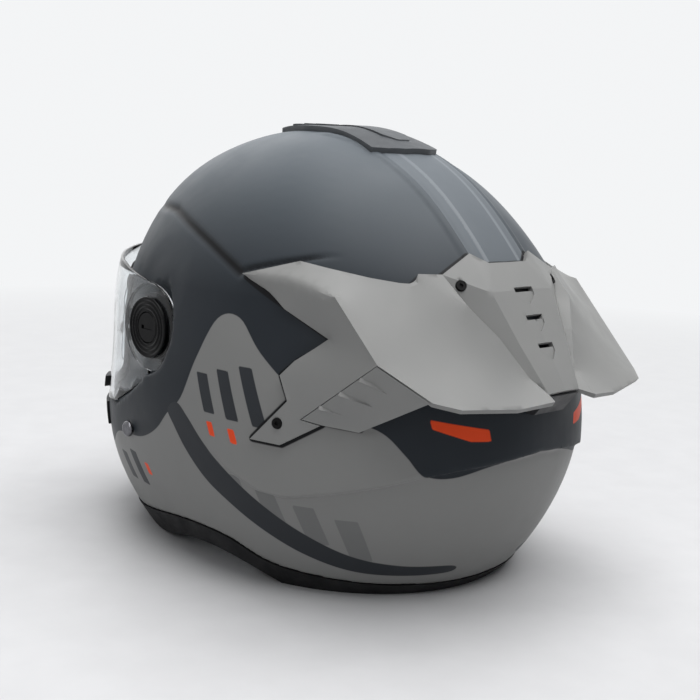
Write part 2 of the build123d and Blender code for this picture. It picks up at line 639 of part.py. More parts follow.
def cheek_core():
    """Foam core of the left cheek pad."""
    core = egg(CHEEK_CORE_OUTER) - egg(CHEEK_CORE_INNER)
    core = core & block(0, SHELL_HALF_WIDTH, reach(CHEEK_FRONT_SHARE), reach(CHEEK_REAR_SHARE),
                        CHEEK_LOW_SHARE * SHELL_HEIGHT, CHEEK_TOP_SHARE * SHELL_HEIGHT)
    return core - recess_zone(SEAT_GAP)


def cheek_pad():
    """Left cheek pad: a cushion with a crowned inner face and drawn-in sides."""
    front = reach(CHEEK_FRONT_SHARE)
    rear = reach(CHEEK_REAR_SHARE)
    low = CHEEK_LOW_SHARE * SHELL_HEIGHT
    top = CHEEK_TOP_SHARE * SHELL_HEIGHT
    middle = ((front + rear) / 2, (low + top) / 2)
    outer_x = SHELL_HALF_WIDTH - CHEEK_CORE_OUTER
    stations = [(CHEEK_INNER_X + COMFORT_THICKNESS * depth, share) for depth, share in CHEEK_CROWN_SHARES]
    faces = []
    for x, share in stations + [(outer_x, 1)]:
        shape = RectangleRounded((rear - front) * share, (top - low) * share, CHEEK_CORNER * share)
        faces.append(Plane(origin=(x, 0, 0), x_dir=(0, 1, 0), z_dir=(1, 0, 0)) * (Pos(*middle) * shape))
    cushion = loft(faces) & block(0, SHELL_HALF_WIDTH, front, rear, low, top)
    return cushion & egg(CHEEK_CORE_INNER + SEAT_GAP)


def chin_liner():
    """Foam liner inside the chin bar."""
    pad = egg(SHELL_WALL + SEAT_GAP) - egg(SHELL_WALL + CHIN_PAD_DEPTH)
    pad = pad & block(-SPAN, SPAN, AHEAD, reach(CHIN_REAR_SHARE), CHEEK_LOW_SHARE * SHELL_HEIGHT,
                      CHIN_TOP_SHARE * SHELL_HEIGHT)
    return pad - recess_zone(SEAT_GAP)


def chin_curtain():
    """Flat fabric flap under the chin."""
    floor = NECK_FLOOR_SHARE * SHELL_HEIGHT
    flap = egg(TRIM_DEPTH + SEAT_GAP) & block(-SPAN, SPAN, AHEAD, reach(CURTAIN_REAR_SHARE), floor,
                                              floor + CURTAIN_THICKNESS)
    throat = Pos(0, reach(CURTAIN_REAR_SHARE), 0) * Cylinder(FACE_HALF_WIDTH * THROAT_SHARE, CUT_MARGIN)
    return flap - throat


def breath_guard():
    """Rubber nose guard that stands on the chin liner."""
    floor = CHIN_TOP_SHARE * SHELL_HEIGHT + SEAT_GAP
    layer = visor_form(GUARD_INSET) - visor_form(GUARD_INSET + GUARD_THICKNESS)
    side = GUARD_SHOULDER_SHARES[0] * GUARD_HALF_WIDTH
    shoulder = floor + GUARD_SHOULDER_SHARES[1] * GUARD_HEIGHT
    outline = Polyline((-GUARD_HALF_WIDTH, floor), (GUARD_HALF_WIDTH, floor), (side, shoulder),
                       (0, floor + GUARD_HEIGHT), (-side, shoulder), close=True)
    return layer & extrude(Plane.XZ * make_face(outline), amount=SHELL_FRONT_REACH + CUT_MARGIN)


def chin_sill():
    """Dark sill along the chin bar, just under the visor."""
    strip = block(-SPAN, SPAN, AHEAD, reach(SILL_REAR_SHARE), SILL_LOW_SHARE * SHELL_HEIGHT,
                  SILL_TOP_SHARE * SHELL_HEIGHT)
    strip = strip - visor_prism(VISOR_GAP)
    return (strip & egg(-SILL_RISE)) - OUTER


def chin_slots():
    """The two air slots of the chin vent."""
    slot_z = CHIN_VENT_Z_SHARE * SHELL_HEIGHT
    return both_sides(block(CHIN_SLOT_OFFSET - CHIN_SLOT_WIDTH / 2, CHIN_SLOT_OFFSET + CHIN_SLOT_WIDTH / 2,
                            AHEAD, 0, slot_z - CHIN_SLOT_HEIGHT / 2,
                            slot_z + CHIN_SLOT_HEIGHT / 2))


def shutter_window(gap, travel):
    """Space of the chin shutter, seen from the front, over its travel."""
    z = CHIN_VENT_Z_SHARE * SHELL_HEIGHT
    half = CHIN_SHUTTER_WIDTH / 2 + gap
    return block(-half, half, AHEAD, 0, z - CHIN_SHUTTER_HEIGHT / 2 - gap - travel / 2,
                 z + CHIN_SHUTTER_HEIGHT / 2 + gap + travel / 2)


def chin_vent_cover():
    """Cover of the chin vent, with its slots and the button's window."""
    outline = make_face(Polyline(*[(x * SHELL_HALF_WIDTH, z * SHELL_HEIGHT) for x, z in CHIN_VENT_SHARES],
                                 close=True))
    outline = fillet(outline.vertices(), CHIN_VENT_CORNER)
    cover = extrude(Plane.XZ * outline, amount=SHELL_FRONT_REACH + CUT_MARGIN) - chin_slots()
    window = shutter_window(SEAT_GAP, CHIN_SHUTTER_TRAVEL) - egg(-CHIN_VENT_RISE + CHIN_SHUTTER_RISE)
    return (cover & egg(-CHIN_VENT_RISE)) - OUTER - window


def chin_vent_shutter():
    """Button that slides up and down in the chin vent's window."""
    floor = CHIN_SHUTTER_RISE - CHIN_VENT_RISE - SEAT_GAP * 2
    z = CHIN_VENT_Z_SHARE * SHELL_HEIGHT - CHIN_SHUTTER_TRAVEL / 2
    half = CHIN_SHUTTER_WIDTH / 2
    button = block(-half, half, AHEAD, 0, z - CHIN_SHUTTER_HEIGHT / 2,
                   z + CHIN_SHUTTER_HEIGHT / 2)
    return (button & egg(floor - CHIN_SHUTTER_RISE)) - egg(floor)


def plan_prism(shares, corner, grow=0, shift=0):
    """Upright prism over the crown, its outline given in the plan view."""
    outline = make_face(Polyline(*[(x * SHELL_HALF_WIDTH, reach(y) + shift) for x, y in shares], close=True))
    outline = fillet(outline.vertices(), corner)
    if grow:
        outline = offset(outline, grow)
    return extrude(Pos(0, 0, SHELL_HEIGHT / 2) * outline, amount=SHELL_HEIGHT)


def track_drum(growth=0):
    """Drum whose round face is the curved bed of the top vent's slider."""
    centre = Vector(-SPAN, reach(TRACK_CENTRE_SHARES[0]), TRACK_CENTRE_SHARES[1] * SHELL_HEIGHT)
    radius = TRACK_RADIUS_SHARE * SHELL_HEIGHT + growth
    return Plane(origin=centre, z_dir=(1, 0, 0)) * extrude(Circle(radius), SPAN * 2)


def top_vent_housing():
    """Low housing on the crown, with ridges at its front and a track for the slider."""
    body = (plan_prism(TOP_VENT_SHARES, TOP_VENT_CORNER) & egg(-TOP_VENT_RISE)) - OUTER
    track = plan_prism(TOP_SLIDER_SHARES, TOP_SLIDER_CORNER, SEAT_GAP)
    axis = Axis((0, reach(TRACK_CENTRE_SHARES[0]), TRACK_CENTRE_SHARES[1] * SHELL_HEIGHT), (1, 0, 0))
    travel = math.degrees(TOP_SLIDER_TRAVEL / (TRACK_RADIUS_SHARE * SHELL_HEIGHT))
    track = track + track.rotate(axis, travel) + track.rotate(axis, travel / 2)
    body = body - (track - track_drum(-SEAT_GAP))
    floor = egg(-TOP_SLIDER_FLOOR)
    ridge_top = egg(-TOP_VENT_RISE - TOP_RIDGE_RISE)
    for ridge in range(TOP_RIDGE_COUNT):
        y = reach(TOP_RIDGE_START_SHARE) + ridge * TOP_RIDGE_PITCH
        bar = block(-TOP_RIDGE_HALF_WIDTH, TOP_RIDGE_HALF_WIDTH, y, y + TOP_RIDGE_LENGTH, SHELL_HEIGHT / 2,
                    SHELL_HEIGHT + CUT_MARGIN)
        body = body + ((bar & ridge_top) - floor)
    return body


def top_vent_slider():
    """Cover that slides fore and aft along the housing's curved track."""
    cover = plan_prism(TOP_SLIDER_SHARES, TOP_SLIDER_CORNER) & track_drum(TOP_SLIDER_RISE)
    return cover - track_drum() - egg(-RUNNING_GAP)


def thick_panel(points, triangles, wall):
    """Solid of one wall under a faceted face: points outward, triangles of their numbers."""
    normals = [Vector(0, 0, 0) for _ in points]
    for a, b, c in triangles:
        normal = (points[b] - points[a]).cross(points[c] - points[a])
        for corner in (a, b, c):
            normals[corner] = normals[corner] + normal.normalized()
    inner = [point - normal.normalized() * wall for point, normal in zip(points, normals)]
    edges = {}
    faces = []

    def add(*corners):
        faces.append(Face(Wire.make_polygon(list(corners), close=True)))

    for a, b, c in triangles:
        add(points[a], points[b], points[c])
        add(inner[c], inner[b], inner[a])
        for start, end in ((a, b), (b, c), (c, a)):
            if (end, start) in edges:
                del edges[(end, start)]
            else:
                edges[(start, end)] = True
    for start, end in edges:
        add(points[start], inner[start], points[end])
        add(points[end], inner[start], inner[end])
    return Solid(Shell(faces))


def spoiler_points():
    """Named corners of the spoiler's outer face, left half and middle line."""
    off = SPOILER_WALL + SEAT_GAP
    names = {"tip": on_shell(*TIP_SHARES, off)}
    for number, shares in enumerate(EDGE_TOP_SHARES):
        names["edge%d" % number] = on_shell(*shares, off)
    names["strip_top"] = on_shell(*STRIP_TOP_SHARES, off * STRIP_LIFT_SHARE)
    names["recess_top"] = on_shell(*RECESS_TOP_SHARES, off)
    names["horn"] = on_shell(*HORN_SHARES, off)
    names["panel_top"] = on_shell(*PANEL_TOP_SHARES, off)
    for number, shares in enumerate(FOLD_SHARES):
        names["fold%d" % number] = place(*shares)
    names["tail"] = place(*TAIL_CORNER_SHARES)
    names["cover_rear"] = place(*COVER_REAR_SHARES)
    names["cover_top"] = place(*COVER_TOP_SHARES)
    for number, shares in enumerate(STRIP_SHARES):
        names["strip%d" % number] = place(*shares)
    for number, shares in enumerate(RECESS_SHARES):
        names["recess%d" % number] = place(*shares)
    for number, shares in enumerate(PANEL_SHARES):
        names["panel%d" % number] = place(*shares)
        names["middle%d" % number] = place(0, shares[1] + RIDGE_SHARES[0], shares[2] + RIDGE_SHARES[1])
    names["middle_top"] = on_shell(0, PANEL_TOP_SHARES[1], off)
    for number, shares in enumerate(SIDE_EDGE_SHARES):
        names["side%d" % number] = on_shell(*shares, LUG_STAND_OFF)
    for number, shares in enumerate(LUG_SHARES):
        names["lug%d" % number] = on_shell(*shares, LUG_STAND_OFF)
    for number, shares in enumerate(COVER_LOW_SHARES):
        names["cover%d" % number] = on_shell(*shares, LUG_STAND_OFF)
    return names


SPOILER_FACES = (
    "tip edge0 fold0", "edge0 fold1 fold0", "edge0 edge1 fold1", "edge1 edge2 fold1", "edge2 fold2 fold1",
    "edge2 edge3 fold2", "edge3 edge4 fold2", "edge4 strip_top fold2", "strip_top strip0 fold2",
    "strip0 fold3 fold2", "strip0 strip1 fold3", "strip1 fold4 fold3", "strip1 recess2 fold4",
    "recess2 fold5 fold4", "recess2 recess3 fold5",
    "strip_top recess_top strip0", "recess_top recess0 strip0", "recess0 strip1 strip0",
    "recess0 recess1 strip1", "recess1 recess2 strip1",
    "recess_top horn panel0", "recess_top panel0 recess0", "recess0 panel0 recess1", "panel0 panel1 recess1",
    "recess1 panel1 recess2", "panel1 panel2 recess2", "recess2 panel2 recess3",
    "horn panel_top panel0", "panel_top middle_top panel0", "middle_top middle0 panel0",
    "panel0 middle0 middle1", "panel0 middle1 panel1", "panel1 middle1 middle2", "panel1 middle2 panel2",
    "tip fold0 side0", "fold0 fold1 side0", "fold1 side1 side0", "fold1 cover_top side1",
    "fold1 fold2 cover_top", "fold2 fold3 cover_top", "fold3 cover_rear cover_top",
    "fold3 fold4 cover_rear", "fold4 tail cover_rear",
    "fold4 fold5 tail",
    "side1 cover_top lug0", "lug0 cover_top lug1", "lug1 cover_top cover0", "lug1 cover0 lug2",
    "lug2 cover0 lug3", "lug3 cover0 lug5", "lug3 lug5 lug4", "cover0 cover1 lug5")


def mirrored(point):
    """Mirror image of a point across the middle plane."""
    return Vector(-point.X, point.Y, point.Z)


def spoiler(names):
    """Moulded rear spoiler: panel with slots between two folded wings, with a screw lug on each."""
    used = " ".join(SPOILER_FACES).split()
    order = [name for name in names if name in used]
    points = [names[name] for name in order]
    number = {name: index for index, name in enumerate(order)}
    twins = {}
    for name in order:
        if abs(names[name].X) < SEAT_GAP:
            twins[name] = number[name]
        else:
            twins[name] = len(points)
            points.append(mirrored(names[name]))
    triangles = []
    for face in SPOILER_FACES:
        a, b, c = face.split()
        triangles.append((number[a], number[c], number[b]))
        triangles.append((twins[a], twins[b], twins[c]))
    body = thick_panel(points, triangles, SPOILER_WALL) - egg(-SEAT_GAP)
    for slot in range(PANEL_SLOT_COUNT):
        body = body - panel_slot(names, slot)
    shank = Circle(SCREW_SHANK_RADIUS + SCREW_HOLE_GAP)
    head = Circle(SCREW_HEAD_RADIUS + SCREW_HOLE_GAP)
    for shares in (LUG_SCREW_SHARES, TOP_SCREW_SHARES):
        frame = screw_frame(shares)
        bore = frame * extrude(shank, CUT_MARGIN / 4, both=True)
        sink = frame.offset(SPOILER_WALL / 2) * extrude(head, CUT_MARGIN / 4)
        body = body - both_sides(bore + sink)
    return body


def panel_slot(names, slot):
    """One air slot of the spoiler's panel, with the dimple below it."""
    low = names["middle2"]
    up = (names["middle0"] - low).normalized()
    height = (PANEL_SLOT_TOP_SHARE - slot * PANEL_SLOT_STEP_SHARE) * SHELL_HEIGHT
    start = low + up * ((height - low.Z) / up.Z)
    half = (PANEL_SLOT_WIDTH - slot * PANEL_SLOT_NARROWING) / 2
    side = half * DIMPLE_SIDE_SHARE
    point = half * DIMPLE_POINT_SHARE
    frame = Plane(origin=start, x_dir=(-1, 0, 0), z_dir=up.cross(Vector(1, 0, 0)))
    slit = frame * extrude(Rectangle(2 * half, PANEL_SLOT_HEIGHT), CUT_MARGIN / 4, both=True)
    arrow = make_face(Polyline((-half, 0), (half, 0), (side, -DIMPLE_SHOULDER), (point, -DIMPLE_DROP),
                               (-point, -DIMPLE_DROP), (-side, -DIMPLE_SHOULDER), close=True))
    return slit + frame.offset(-DIMPLE_DEPTH) * extrude(arrow, CUT_MARGIN / 4)


def exhaust_rib(ends, outward):
    """One wedge-shaped rib, from its wide start to its pointed end."""
    start, finish = ends
    along = finish - start
    across = along.cross(outward).normalized() * (RIB_WIDTH / 2)
    sink = outward * (COVER_WALL / 2)
    crest = start + outward * RIB_HEIGHT + along * RIB_CREST_SHARE
    base = (start + across - sink, start - across - sink, finish - sink)
    corners = ((base[0], base[1], base[2]), (base[0], crest, base[1]), (base[1], crest, base[2]),
               (base[2], crest, base[0]))
    return Solid(Shell([Face(Wire.make_polygon(list(face), close=True)) for face in corners]))


def exhaust_cover(names):
    """Left air outlet cover let into the spoiler's side, with three ribs."""
    corners = [names[name] for name in ("cover_top", "cover0", "cover1", "cover2", "cover_rear")]
    centre = sum(corners, Vector(0, 0, 0)) * (1 / len(corners))
    top, low, side, bottom, rear = [corner + (centre - corner) * COVER_SHRINK_SHARE for corner in corners]
    panel = thick_panel([top, low, side, bottom, rear], ((0, 1, 2), (0, 2, 3), (0, 3, 4)), COVER_WALL)
    panel = panel - egg(-SEAT_GAP)
    outward = (low - top).cross(rear - top).normalized()
    outward = outward * math.copysign(1, outward.X)
    for rib in range(RIB_COUNT):
        share = RIB_START_SHARE + rib * RIB_STEP_SHARE
        start = top + (low - top) * share
        end = rear + (bottom - rear) * share
        panel = panel + exhaust_rib((start, start + (end - start) * RIB_LENGTH_SHARE), outward)
    return panel


def spoiler_bracket():
    """Keel that carries the spoiler's tail off the shell."""
    outline = Polyline(*[(reach(y), z * SHELL_HEIGHT) for y, z in BRACKET_SHARES], close=True)
    return extrude(Plane.YZ * make_face(outline), amount=BRACKET_HALF_WIDTH, both=True) - egg(-SEAT_GAP)


def screw(shares, head_floor):
    """Left screw: socket head on the spoiler, shank through the shell."""
    frame = screw_frame(shares)
    head = frame.offset(head_floor) * extrude(Circle(SCREW_HEAD_RADIUS), SCREW_HEAD_HEIGHT)
    head = head - frame.offset(head_floor + SCREW_HEAD_HEIGHT / 2) * extrude(
        RegularPolygon(SCREW_SOCKET_RADIUS, 6), SCREW_HEAD_HEIGHT)
    shank = frame.offset(-SHELL_WALL + SEAT_GAP) * extrude(Circle(SCREW_SHANK_RADIUS),
                                                           SHELL_WALL - SEAT_GAP + head_floor)
    return head + shank


def strap_run(side):
    """One side's strap: down inside the shell and in under the chin to the buckle."""
    y = reach(STRAP_Y_SHARE)
    top = RIVET_Z_SHARE * SHELL_HEIGHT + STRAP_WIDTH / 2
    near, far = y - STRAP_WIDTH / 2, y + STRAP_WIDTH / 2
    drop = egg(STRAP_INSET) - egg(STRAP_INSET + STRAP_THICKNESS)
    drop = drop & block(0, SHELL_HALF_WIDTH, near, far, STRAP_LEVEL, top)
    level = block(0, SHELL_HALF_WIDTH, near, far, STRAP_LEVEL, STRAP_LEVEL + STRAP_THICKNESS)
    level = level & egg(STRAP_INSET)
    stop = -tongue_ends()[0] if side < 0 else BUCKLE_OFFSET + BUCKLE_LENGTH / 2
    level = level - block(0, stop, near, far, 0, STRAP_LEVEL + STRAP_THICKNESS * 2)
    run = drop + level - rivet_bore()
    return mirror(run, about=Plane.YZ) if side < 0 else run


def strap_rivet():
    """Left rivet: domed head outside the shell, shank to the strap inside."""
    y = reach(STRAP_Y_SHARE)
    z = RIVET_Z_SHARE * SHELL_HEIGHT
    x = rivet_seat()
    head = Plane(origin=(x, y, z), z_dir=(1, 0, 0)) * extrude(Circle(RIVET_HEAD_RADIUS), RIVET_HEAD_HEIGHT)
    rim = head.edges().filter_by(GeomType.CIRCLE).sort_by(Axis.X)[-1:]
    head = fillet(rim, RIVET_HEAD_HEIGHT * RIVET_DOME_SHARE)
    shank_end = x - STRAP_INSET - STRAP_THICKNESS
    frame = Plane(origin=(shank_end, y, z), z_dir=(1, 0, 0))
    return head + frame * extrude(Circle(RIVET_SHANK_RADIUS), x - shank_end)


def rivet_seat():
    """X of the rivet head's underside: where the shell is widest under the head."""
    z = RIVET_Z_SHARE * SHELL_HEIGHT
    y = reach(STRAP_Y_SHARE) + RIVET_HEAD_RADIUS
    half_width = blend_table(WIDTH_SHARES, z + RIVET_HEAD_RADIUS) * SHELL_HALF_WIDTH
    centre = blend_table(CENTRE_SHARES, z) * SHELL_REAR_REACH
    front = blend_table(FRONT_SHARES, z) * SHELL_FRONT_REACH + centre
    along = (centre - y) / front
    return half_width * (1 - along ** (2 / FRONT_ROUND_SHARE)) ** (FRONT_ROUND_SHARE / 2) + SEAT_GAP


def buckle_frame():
    """Left end, right end, near side, far side and floor of the buckle."""
    y = reach(STRAP_Y_SHARE)
    return (BUCKLE_OFFSET - BUCKLE_LENGTH / 2, BUCKLE_OFFSET + BUCKLE_LENGTH / 2, y - BUCKLE_WIDTH / 2,
            y + BUCKLE_WIDTH / 2, STRAP_LEVEL - BUCKLE_WALL)


def buckle_body():
    """Steel frame of the buckle: floor, two side walls and the hinge pin's eyes."""
    x0, x1, y0, y1, floor = buckle_frame()
    body = block(x0, x1, y0, y1, floor, floor + BUCKLE_HEIGHT)
    body = body - block(x0 - CUT_MARGIN, x1 + CUT_MARGIN, y0 + BUCKLE_WALL, y1 - BUCKLE_WALL,
                        floor + BUCKLE_WALL, floor + CUT_MARGIN)
    body = chamfer(body.edges().filter_by(Axis.Y).group_by(Axis.Z)[-1], BUCKLE_WALL)
    hole = Plane(origin=(lever_axis_x(), 0, lever_axis_z()), z_dir=(0, 1, 0)) * extrude(
        Circle(LEVER_PIN_RADIUS), SHELL_FRONT_REACH, both=True)
    return body - hole


def lever_axis_x():
    """X of the lever's hinge."""
    return BUCKLE_OFFSET + BUCKLE_LENGTH / 2 - LEVER_AXIS_INSET


def lever_axis_z():
    """Height of the lever's hinge."""
    return STRAP_LEVEL - BUCKLE_WALL + BUCKLE_HEIGHT - LEVER_PIN_RADIUS - BUCKLE_WALL / 2


def buckle_pin():
    """Hinge pin of the lever, held in the buckle's walls."""
    y = reach(STRAP_Y_SHARE)
    return Plane(origin=(lever_axis_x(), y, lever_axis_z()), z_dir=(0, 1, 0)) * extrude(
        Circle(LEVER_PIN_RADIUS), BUCKLE_WIDTH / 2, both=True)


def buckle_lever():
    """Spring lever with a pawl, lifted to free the tongue."""
    y = reach(STRAP_Y_SHARE)
    x, z = lever_axis_x(), lever_axis_z()
    x0 = x - LEVER_LENGTH
    top = z + LEVER_PIN_RADIUS + SEAT_GAP
    half = LEVER_WIDTH / 2
    plate = block(x0, x + LEVER_PIN_RADIUS, y - half, y + half, top - LEVER_THICKNESS / 2,
                  top + LEVER_THICKNESS / 2)
    grip_half = half * LEVER_GRIP_SHARE
    axis = Plane(origin=(x, y, z), z_dir=(0, 1, 0))
    knuckle = axis * extrude(Circle(LEVER_KNUCKLE_RADIUS), half, both=True)
    grip = block(x0 - LEVER_THICKNESS, x0, y - grip_half, y + grip_half, top - LEVER_THICKNESS / 2,
                 top + LEVER_THICKNESS)
    hole = axis * extrude(Circle(LEVER_PIN_RADIUS + RUNNING_GAP / 2), half * 2, both=True)
    return plate + knuckle + grip - hole


def tongue_ends():
    """Right and left end of the tongue."""
    x1 = BUCKLE_OFFSET + BUCKLE_LENGTH / 2 - TONGUE_INSET
    return x1 - TONGUE_LENGTH, x1


def buckle_tongue():
    """Toothed plastic tongue on the end of the right strap."""
    y = reach(STRAP_Y_SHARE)
    floor = STRAP_LEVEL + SEAT_GAP / 2
    x0, x1 = tongue_ends()
    half = TONGUE_WIDTH / 2
    tongue = block(x0, x1, y - half, y + half, floor, floor + TONGUE_THICKNESS)
    for tooth in range(TONGUE_TEETH):
        x = x1 - (tooth + 1) * TONGUE_TOOTH_PITCH
        groove = block(x, x + TONGUE_TOOTH_PITCH / 2, y - half, y + half,
                       floor + TONGUE_THICKNESS - TONGUE_TOOTH_DEPTH, floor + TONGUE_THICKNESS * 2)
        tongue = tongue - groove
    return tongue


def helmet():
    """All pieces by name, in the design frame."""
    names = spoiler_points()
    wing = spoiler(names)
    cover = exhaust_cover(names)
    core = cheek_core()
    cushion = cheek_pad()
    ring, base, cap = pivot_ring(), pivot_base(), pivot_cap()
    lug_screw = screw(LUG_SCREW_SHARES, LUG_STAND_OFF / 2)
    top_screw = screw(TOP_SCREW_SHARES, SPOILER_WALL / 2)
    rivet = strap_rivet()
    pieces = {
        "outer_shell": outer_shell(), "impact_liner": impact_liner(), "chin_liner": chin_liner(),
        "crown_liner": crown_liner(), "neck_roll": neck_roll(), "chin_curtain": chin_curtain(),
        "breath_guard": breath_guard(), "base_trim": base_trim(), "eye_gasket": eye_gasket(),
        "visor": visor(),
        "visor_tab": visor_tab(), "anti_fog_lens": anti_fog_lens(), "lens_pins": lens_pins(),
        "chin_sill": chin_sill(), "chin_vent_cover": chin_vent_cover(),
        "chin_vent_shutter": chin_vent_shutter(),
        "top_vent_housing": top_vent_housing(), "top_vent_slider": top_vent_slider(), "spoiler": wing,
        "spoiler_bracket": spoiler_bracket() - wing,
        "strap_left": strap_run(1), "strap_right": strap_run(-1), "buckle_body": buckle_body(),
        "buckle_pin": buckle_pin(), "buckle_lever": buckle_lever(), "buckle_tongue": buckle_tongue(),
        "spoiler_lug_screws": both_sides(lug_screw), "spoiler_top_screws": both_sides(top_screw),
        "strap_rivets": both_sides(rivet)}
    for name, shape in (("cheek_core", core), ("cheek_pad", cushion), ("visor_pivot_ring", ring),
                        ("visor_pivot_base", base), ("visor_pivot_cap", cap)):
        pieces[name + "_left"] = shape
        pieces[name + "_right"] = mirror(shape, about=Plane.YZ)
    pieces["exhaust_cover_left"] = cover - wing
    pieces["exhaust_cover_right"] = mirror(cover, about=Plane.YZ) - wing
    return pieces


def main():
    """Write each piece, moved so that the origin is under the middle of the whole helmet."""
    os.makedirs("parts", exist_ok=True)
    pieces = helmet()
    boxes = [piece.bounding_box() for piece in pieces.values()]
    front = min(box.min.Y for box in boxes)
    rear = max(box.max.Y for box in boxes)
    low = min(box.min.Z for box in boxes)
    left = max(box.max.X for box in boxes)
    right = min(box.min.X for box in boxes)
    shift = Pos(-(left + right) / 2, -(front + rear) / 2, -low)
    for name, piece in pieces.items():
        export_step(shift * piece, "parts/" + name + ".step")
    print("shift", -(left + right) / 2, -(front + rear) / 2, -low)


main()
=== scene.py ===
"""Looks of the full-face helmet: painted shell, clear visor, folded rear spoiler, lining and straps.

Metres, in the helmet's own frame: front -Y, the wearer's left +X, up +Z. Shapes are written in
millimetres, with Y measured from the middle of the shell, which lies SHELL_Y from the frame's origin.
"""
import math

import bmesh
import bpy
import numpy as np
from mathutils import Matrix, Vector
from mathutils.bvhtree import BVHTree


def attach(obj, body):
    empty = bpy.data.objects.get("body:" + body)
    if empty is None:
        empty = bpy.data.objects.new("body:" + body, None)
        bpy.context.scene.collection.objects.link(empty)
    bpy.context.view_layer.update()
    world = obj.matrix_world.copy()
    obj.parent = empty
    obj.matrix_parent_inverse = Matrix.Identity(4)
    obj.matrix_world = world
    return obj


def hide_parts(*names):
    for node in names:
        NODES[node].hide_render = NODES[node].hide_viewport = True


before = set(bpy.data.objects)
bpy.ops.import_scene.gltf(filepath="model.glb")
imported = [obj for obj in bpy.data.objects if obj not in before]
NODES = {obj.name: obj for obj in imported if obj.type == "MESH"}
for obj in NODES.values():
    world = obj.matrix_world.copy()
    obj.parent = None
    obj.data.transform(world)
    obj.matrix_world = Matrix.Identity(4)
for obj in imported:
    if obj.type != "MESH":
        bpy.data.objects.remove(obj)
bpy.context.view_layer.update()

MM = 0.001
SHELL_Y = -7.621

# A distance beyond any here, and a length that keeps a division from zero
FAR = 1e9
TINY = 1e-6

# Camera of the photograph: degrees and millimetres; the picture's side and the focal length in pixels
PHOTO_SIDE = 700
FOCAL_PIXELS = 1227.1
CAMERA_AZIMUTH = 135.9
CAMERA_ELEVATION = 9.7
CAMERA_ROLL = 2.4
CAMERA_DISTANCE = 805
SENSOR = 36
CLIP_START = 50
AIM = (0, 0, 130)
AIM_RIGHT = 9.3
AIM_UP = -6.8

# Colours of the shell's paint, linear light
DARK_SLATE = (0.017, 0.021, 0.026)
SLATE_CLOUD = (0.022, 0.026, 0.032)
# Painted sheen: paler paint towards the crown, where the overhead light falls
PAINTED_SHEEN = (0.125, 0.143, 0.16)
LIGHT_GREY = (0.225, 0.226, 0.221)
LIGHT_CLOUD = (0.208, 0.21, 0.208)
MID_GREY = (0.165, 0.167, 0.166)
# Band stripes: a paint pattern, its tones lightened for painted sheen, as on the crown
BAND_DARK = (0.17, 0.19, 0.21)
BAND_GREY = (0.25, 0.27, 0.29)
SWEEP_GREY = (0.030, 0.033, 0.038)
# Painted shade, laid in the grooves and in the gap round the spoiler
SHADOW = (0.004, 0.004, 0.005)
ACCENT = (0.80, 0.075, 0.018)

# Other colours: of each material, of the patches in it and of its worn edges
BLACK = (0.010, 0.010, 0.011)
BLACK_CLOUD = (0.020, 0.020, 0.022)
BLACK_WORN = (0.045, 0.045, 0.048)
VENT_GREY = (0.062, 0.067, 0.073)
VENT_CLOUD = (0.072, 0.078, 0.085)
VENT_WORN = (0.10, 0.106, 0.114)
GLOSS = (0.002, 0.002, 0.0025)
GLOSS_CLOUD = (0.005, 0.005, 0.0055)
RUBBER = (0.012, 0.012, 0.013)
RUBBER_CLOUD = (0.024, 0.024, 0.025)
CLEAR = (0.93, 0.95, 0.96)
CLEAR_CLOUD = (0.90, 0.925, 0.94)
SCREW = (0.004, 0.004, 0.004)
SCREW_CLOUD = (0.008, 0.008, 0.008)
FOAM = (0.020, 0.020, 0.021)
FOAM_RIM = (0.034, 0.034, 0.035)
STEEL = (0.52, 0.52, 0.53)
STEEL_CLOUD = (0.45, 0.45, 0.46)
CHROME = (0.16, 0.16, 0.17)
CHROME_CLOUD = (0.13, 0.13, 0.14)
FABRIC = (0.030, 0.031, 0.034)
FABRIC_PALE = (0.050, 0.051, 0.055)
WEBBING = (0.012, 0.012, 0.013)
WEBBING_PALE = (0.026, 0.026, 0.028)
FLOOR = (0.60, 0.60, 0.61)
FLOOR_CLOUD = (0.62, 0.62, 0.63)
SKY = (0.93, 0.96, 1.0)
SURROUND = (0.90, 0.91, 0.92)

# Material detail: lengths in millimetres, but the period of a wave at scale 1 in metres
NOISE_ROUGHNESS = 0.55
NOISE_LOW = 0.35
NOISE_HIGH = 0.65
FOAM_CELL = 3.2
WAVE_PERIOD = 0.31
KNIT_DISTORTION = 1.2
KNIT_RELIEF = 0.25

# Unrolled map of the shell: degrees from the middle of the back, and millimetres a degree
MAP_CENTRE_Y = 11
MAP_SCALE = 2.35

# Outlines of the paint fields on that map, degrees and height in millimetres
LIGHT_FIELD = ((-40, -20), (-40, 91), (0, 91), (12, 86), (21, 80), (27, 82), (31, 93), (36, 105), (44, 112),
               (56, 124), (66, 141), (74, 158), (82, 156), (88, 132), (93, 107), (99.5, 94), (104, 84),
               (109, 77), (115, 72), (123, 69.5), (131, 66), (138, 56), (146, 40), (146, -20))
SWEEP_FIELD = ((99, 97), (95, 103), (90, 96), (84, 84), (77, 72), (66, 56), (54, 41), (41, 28.5), (28, 23),
               (14, 21), (14, 16), (28, 15.5), (41, 18), (54, 26.5), (66, 38.5), (76, 50.5), (84, 61),
               (91, 75), (96, 88))
REAR_ACCENT = ((14, 107), (26.5, 113), (26, 108), (18, 101), (13.5, 100.5))

# Slanted bars: upper end and length, widths in degrees, the lean of a bar over its length
SLANT = 0.42
BAR_STARTS = ((83, 124, 22), (75.5, 128, 27), (68, 132, 32), (120, 59, 20), (127.5, 54, 16))
BAR_WIDTH = 4.2
ACCENT_STARTS = ((80.2, 97, 8), (113.5, 55, 7), (72.2, 96, 8))
ACCENT_WIDTH = 2.2
GHOST_START = (40, 52)
GHOST_STEP = (10.5, 5.5)
GHOST_COUNT = 4
GHOST_WIDTH = 5.5
GHOST_LENGTH = 26
GHOST_SHRINK = 3

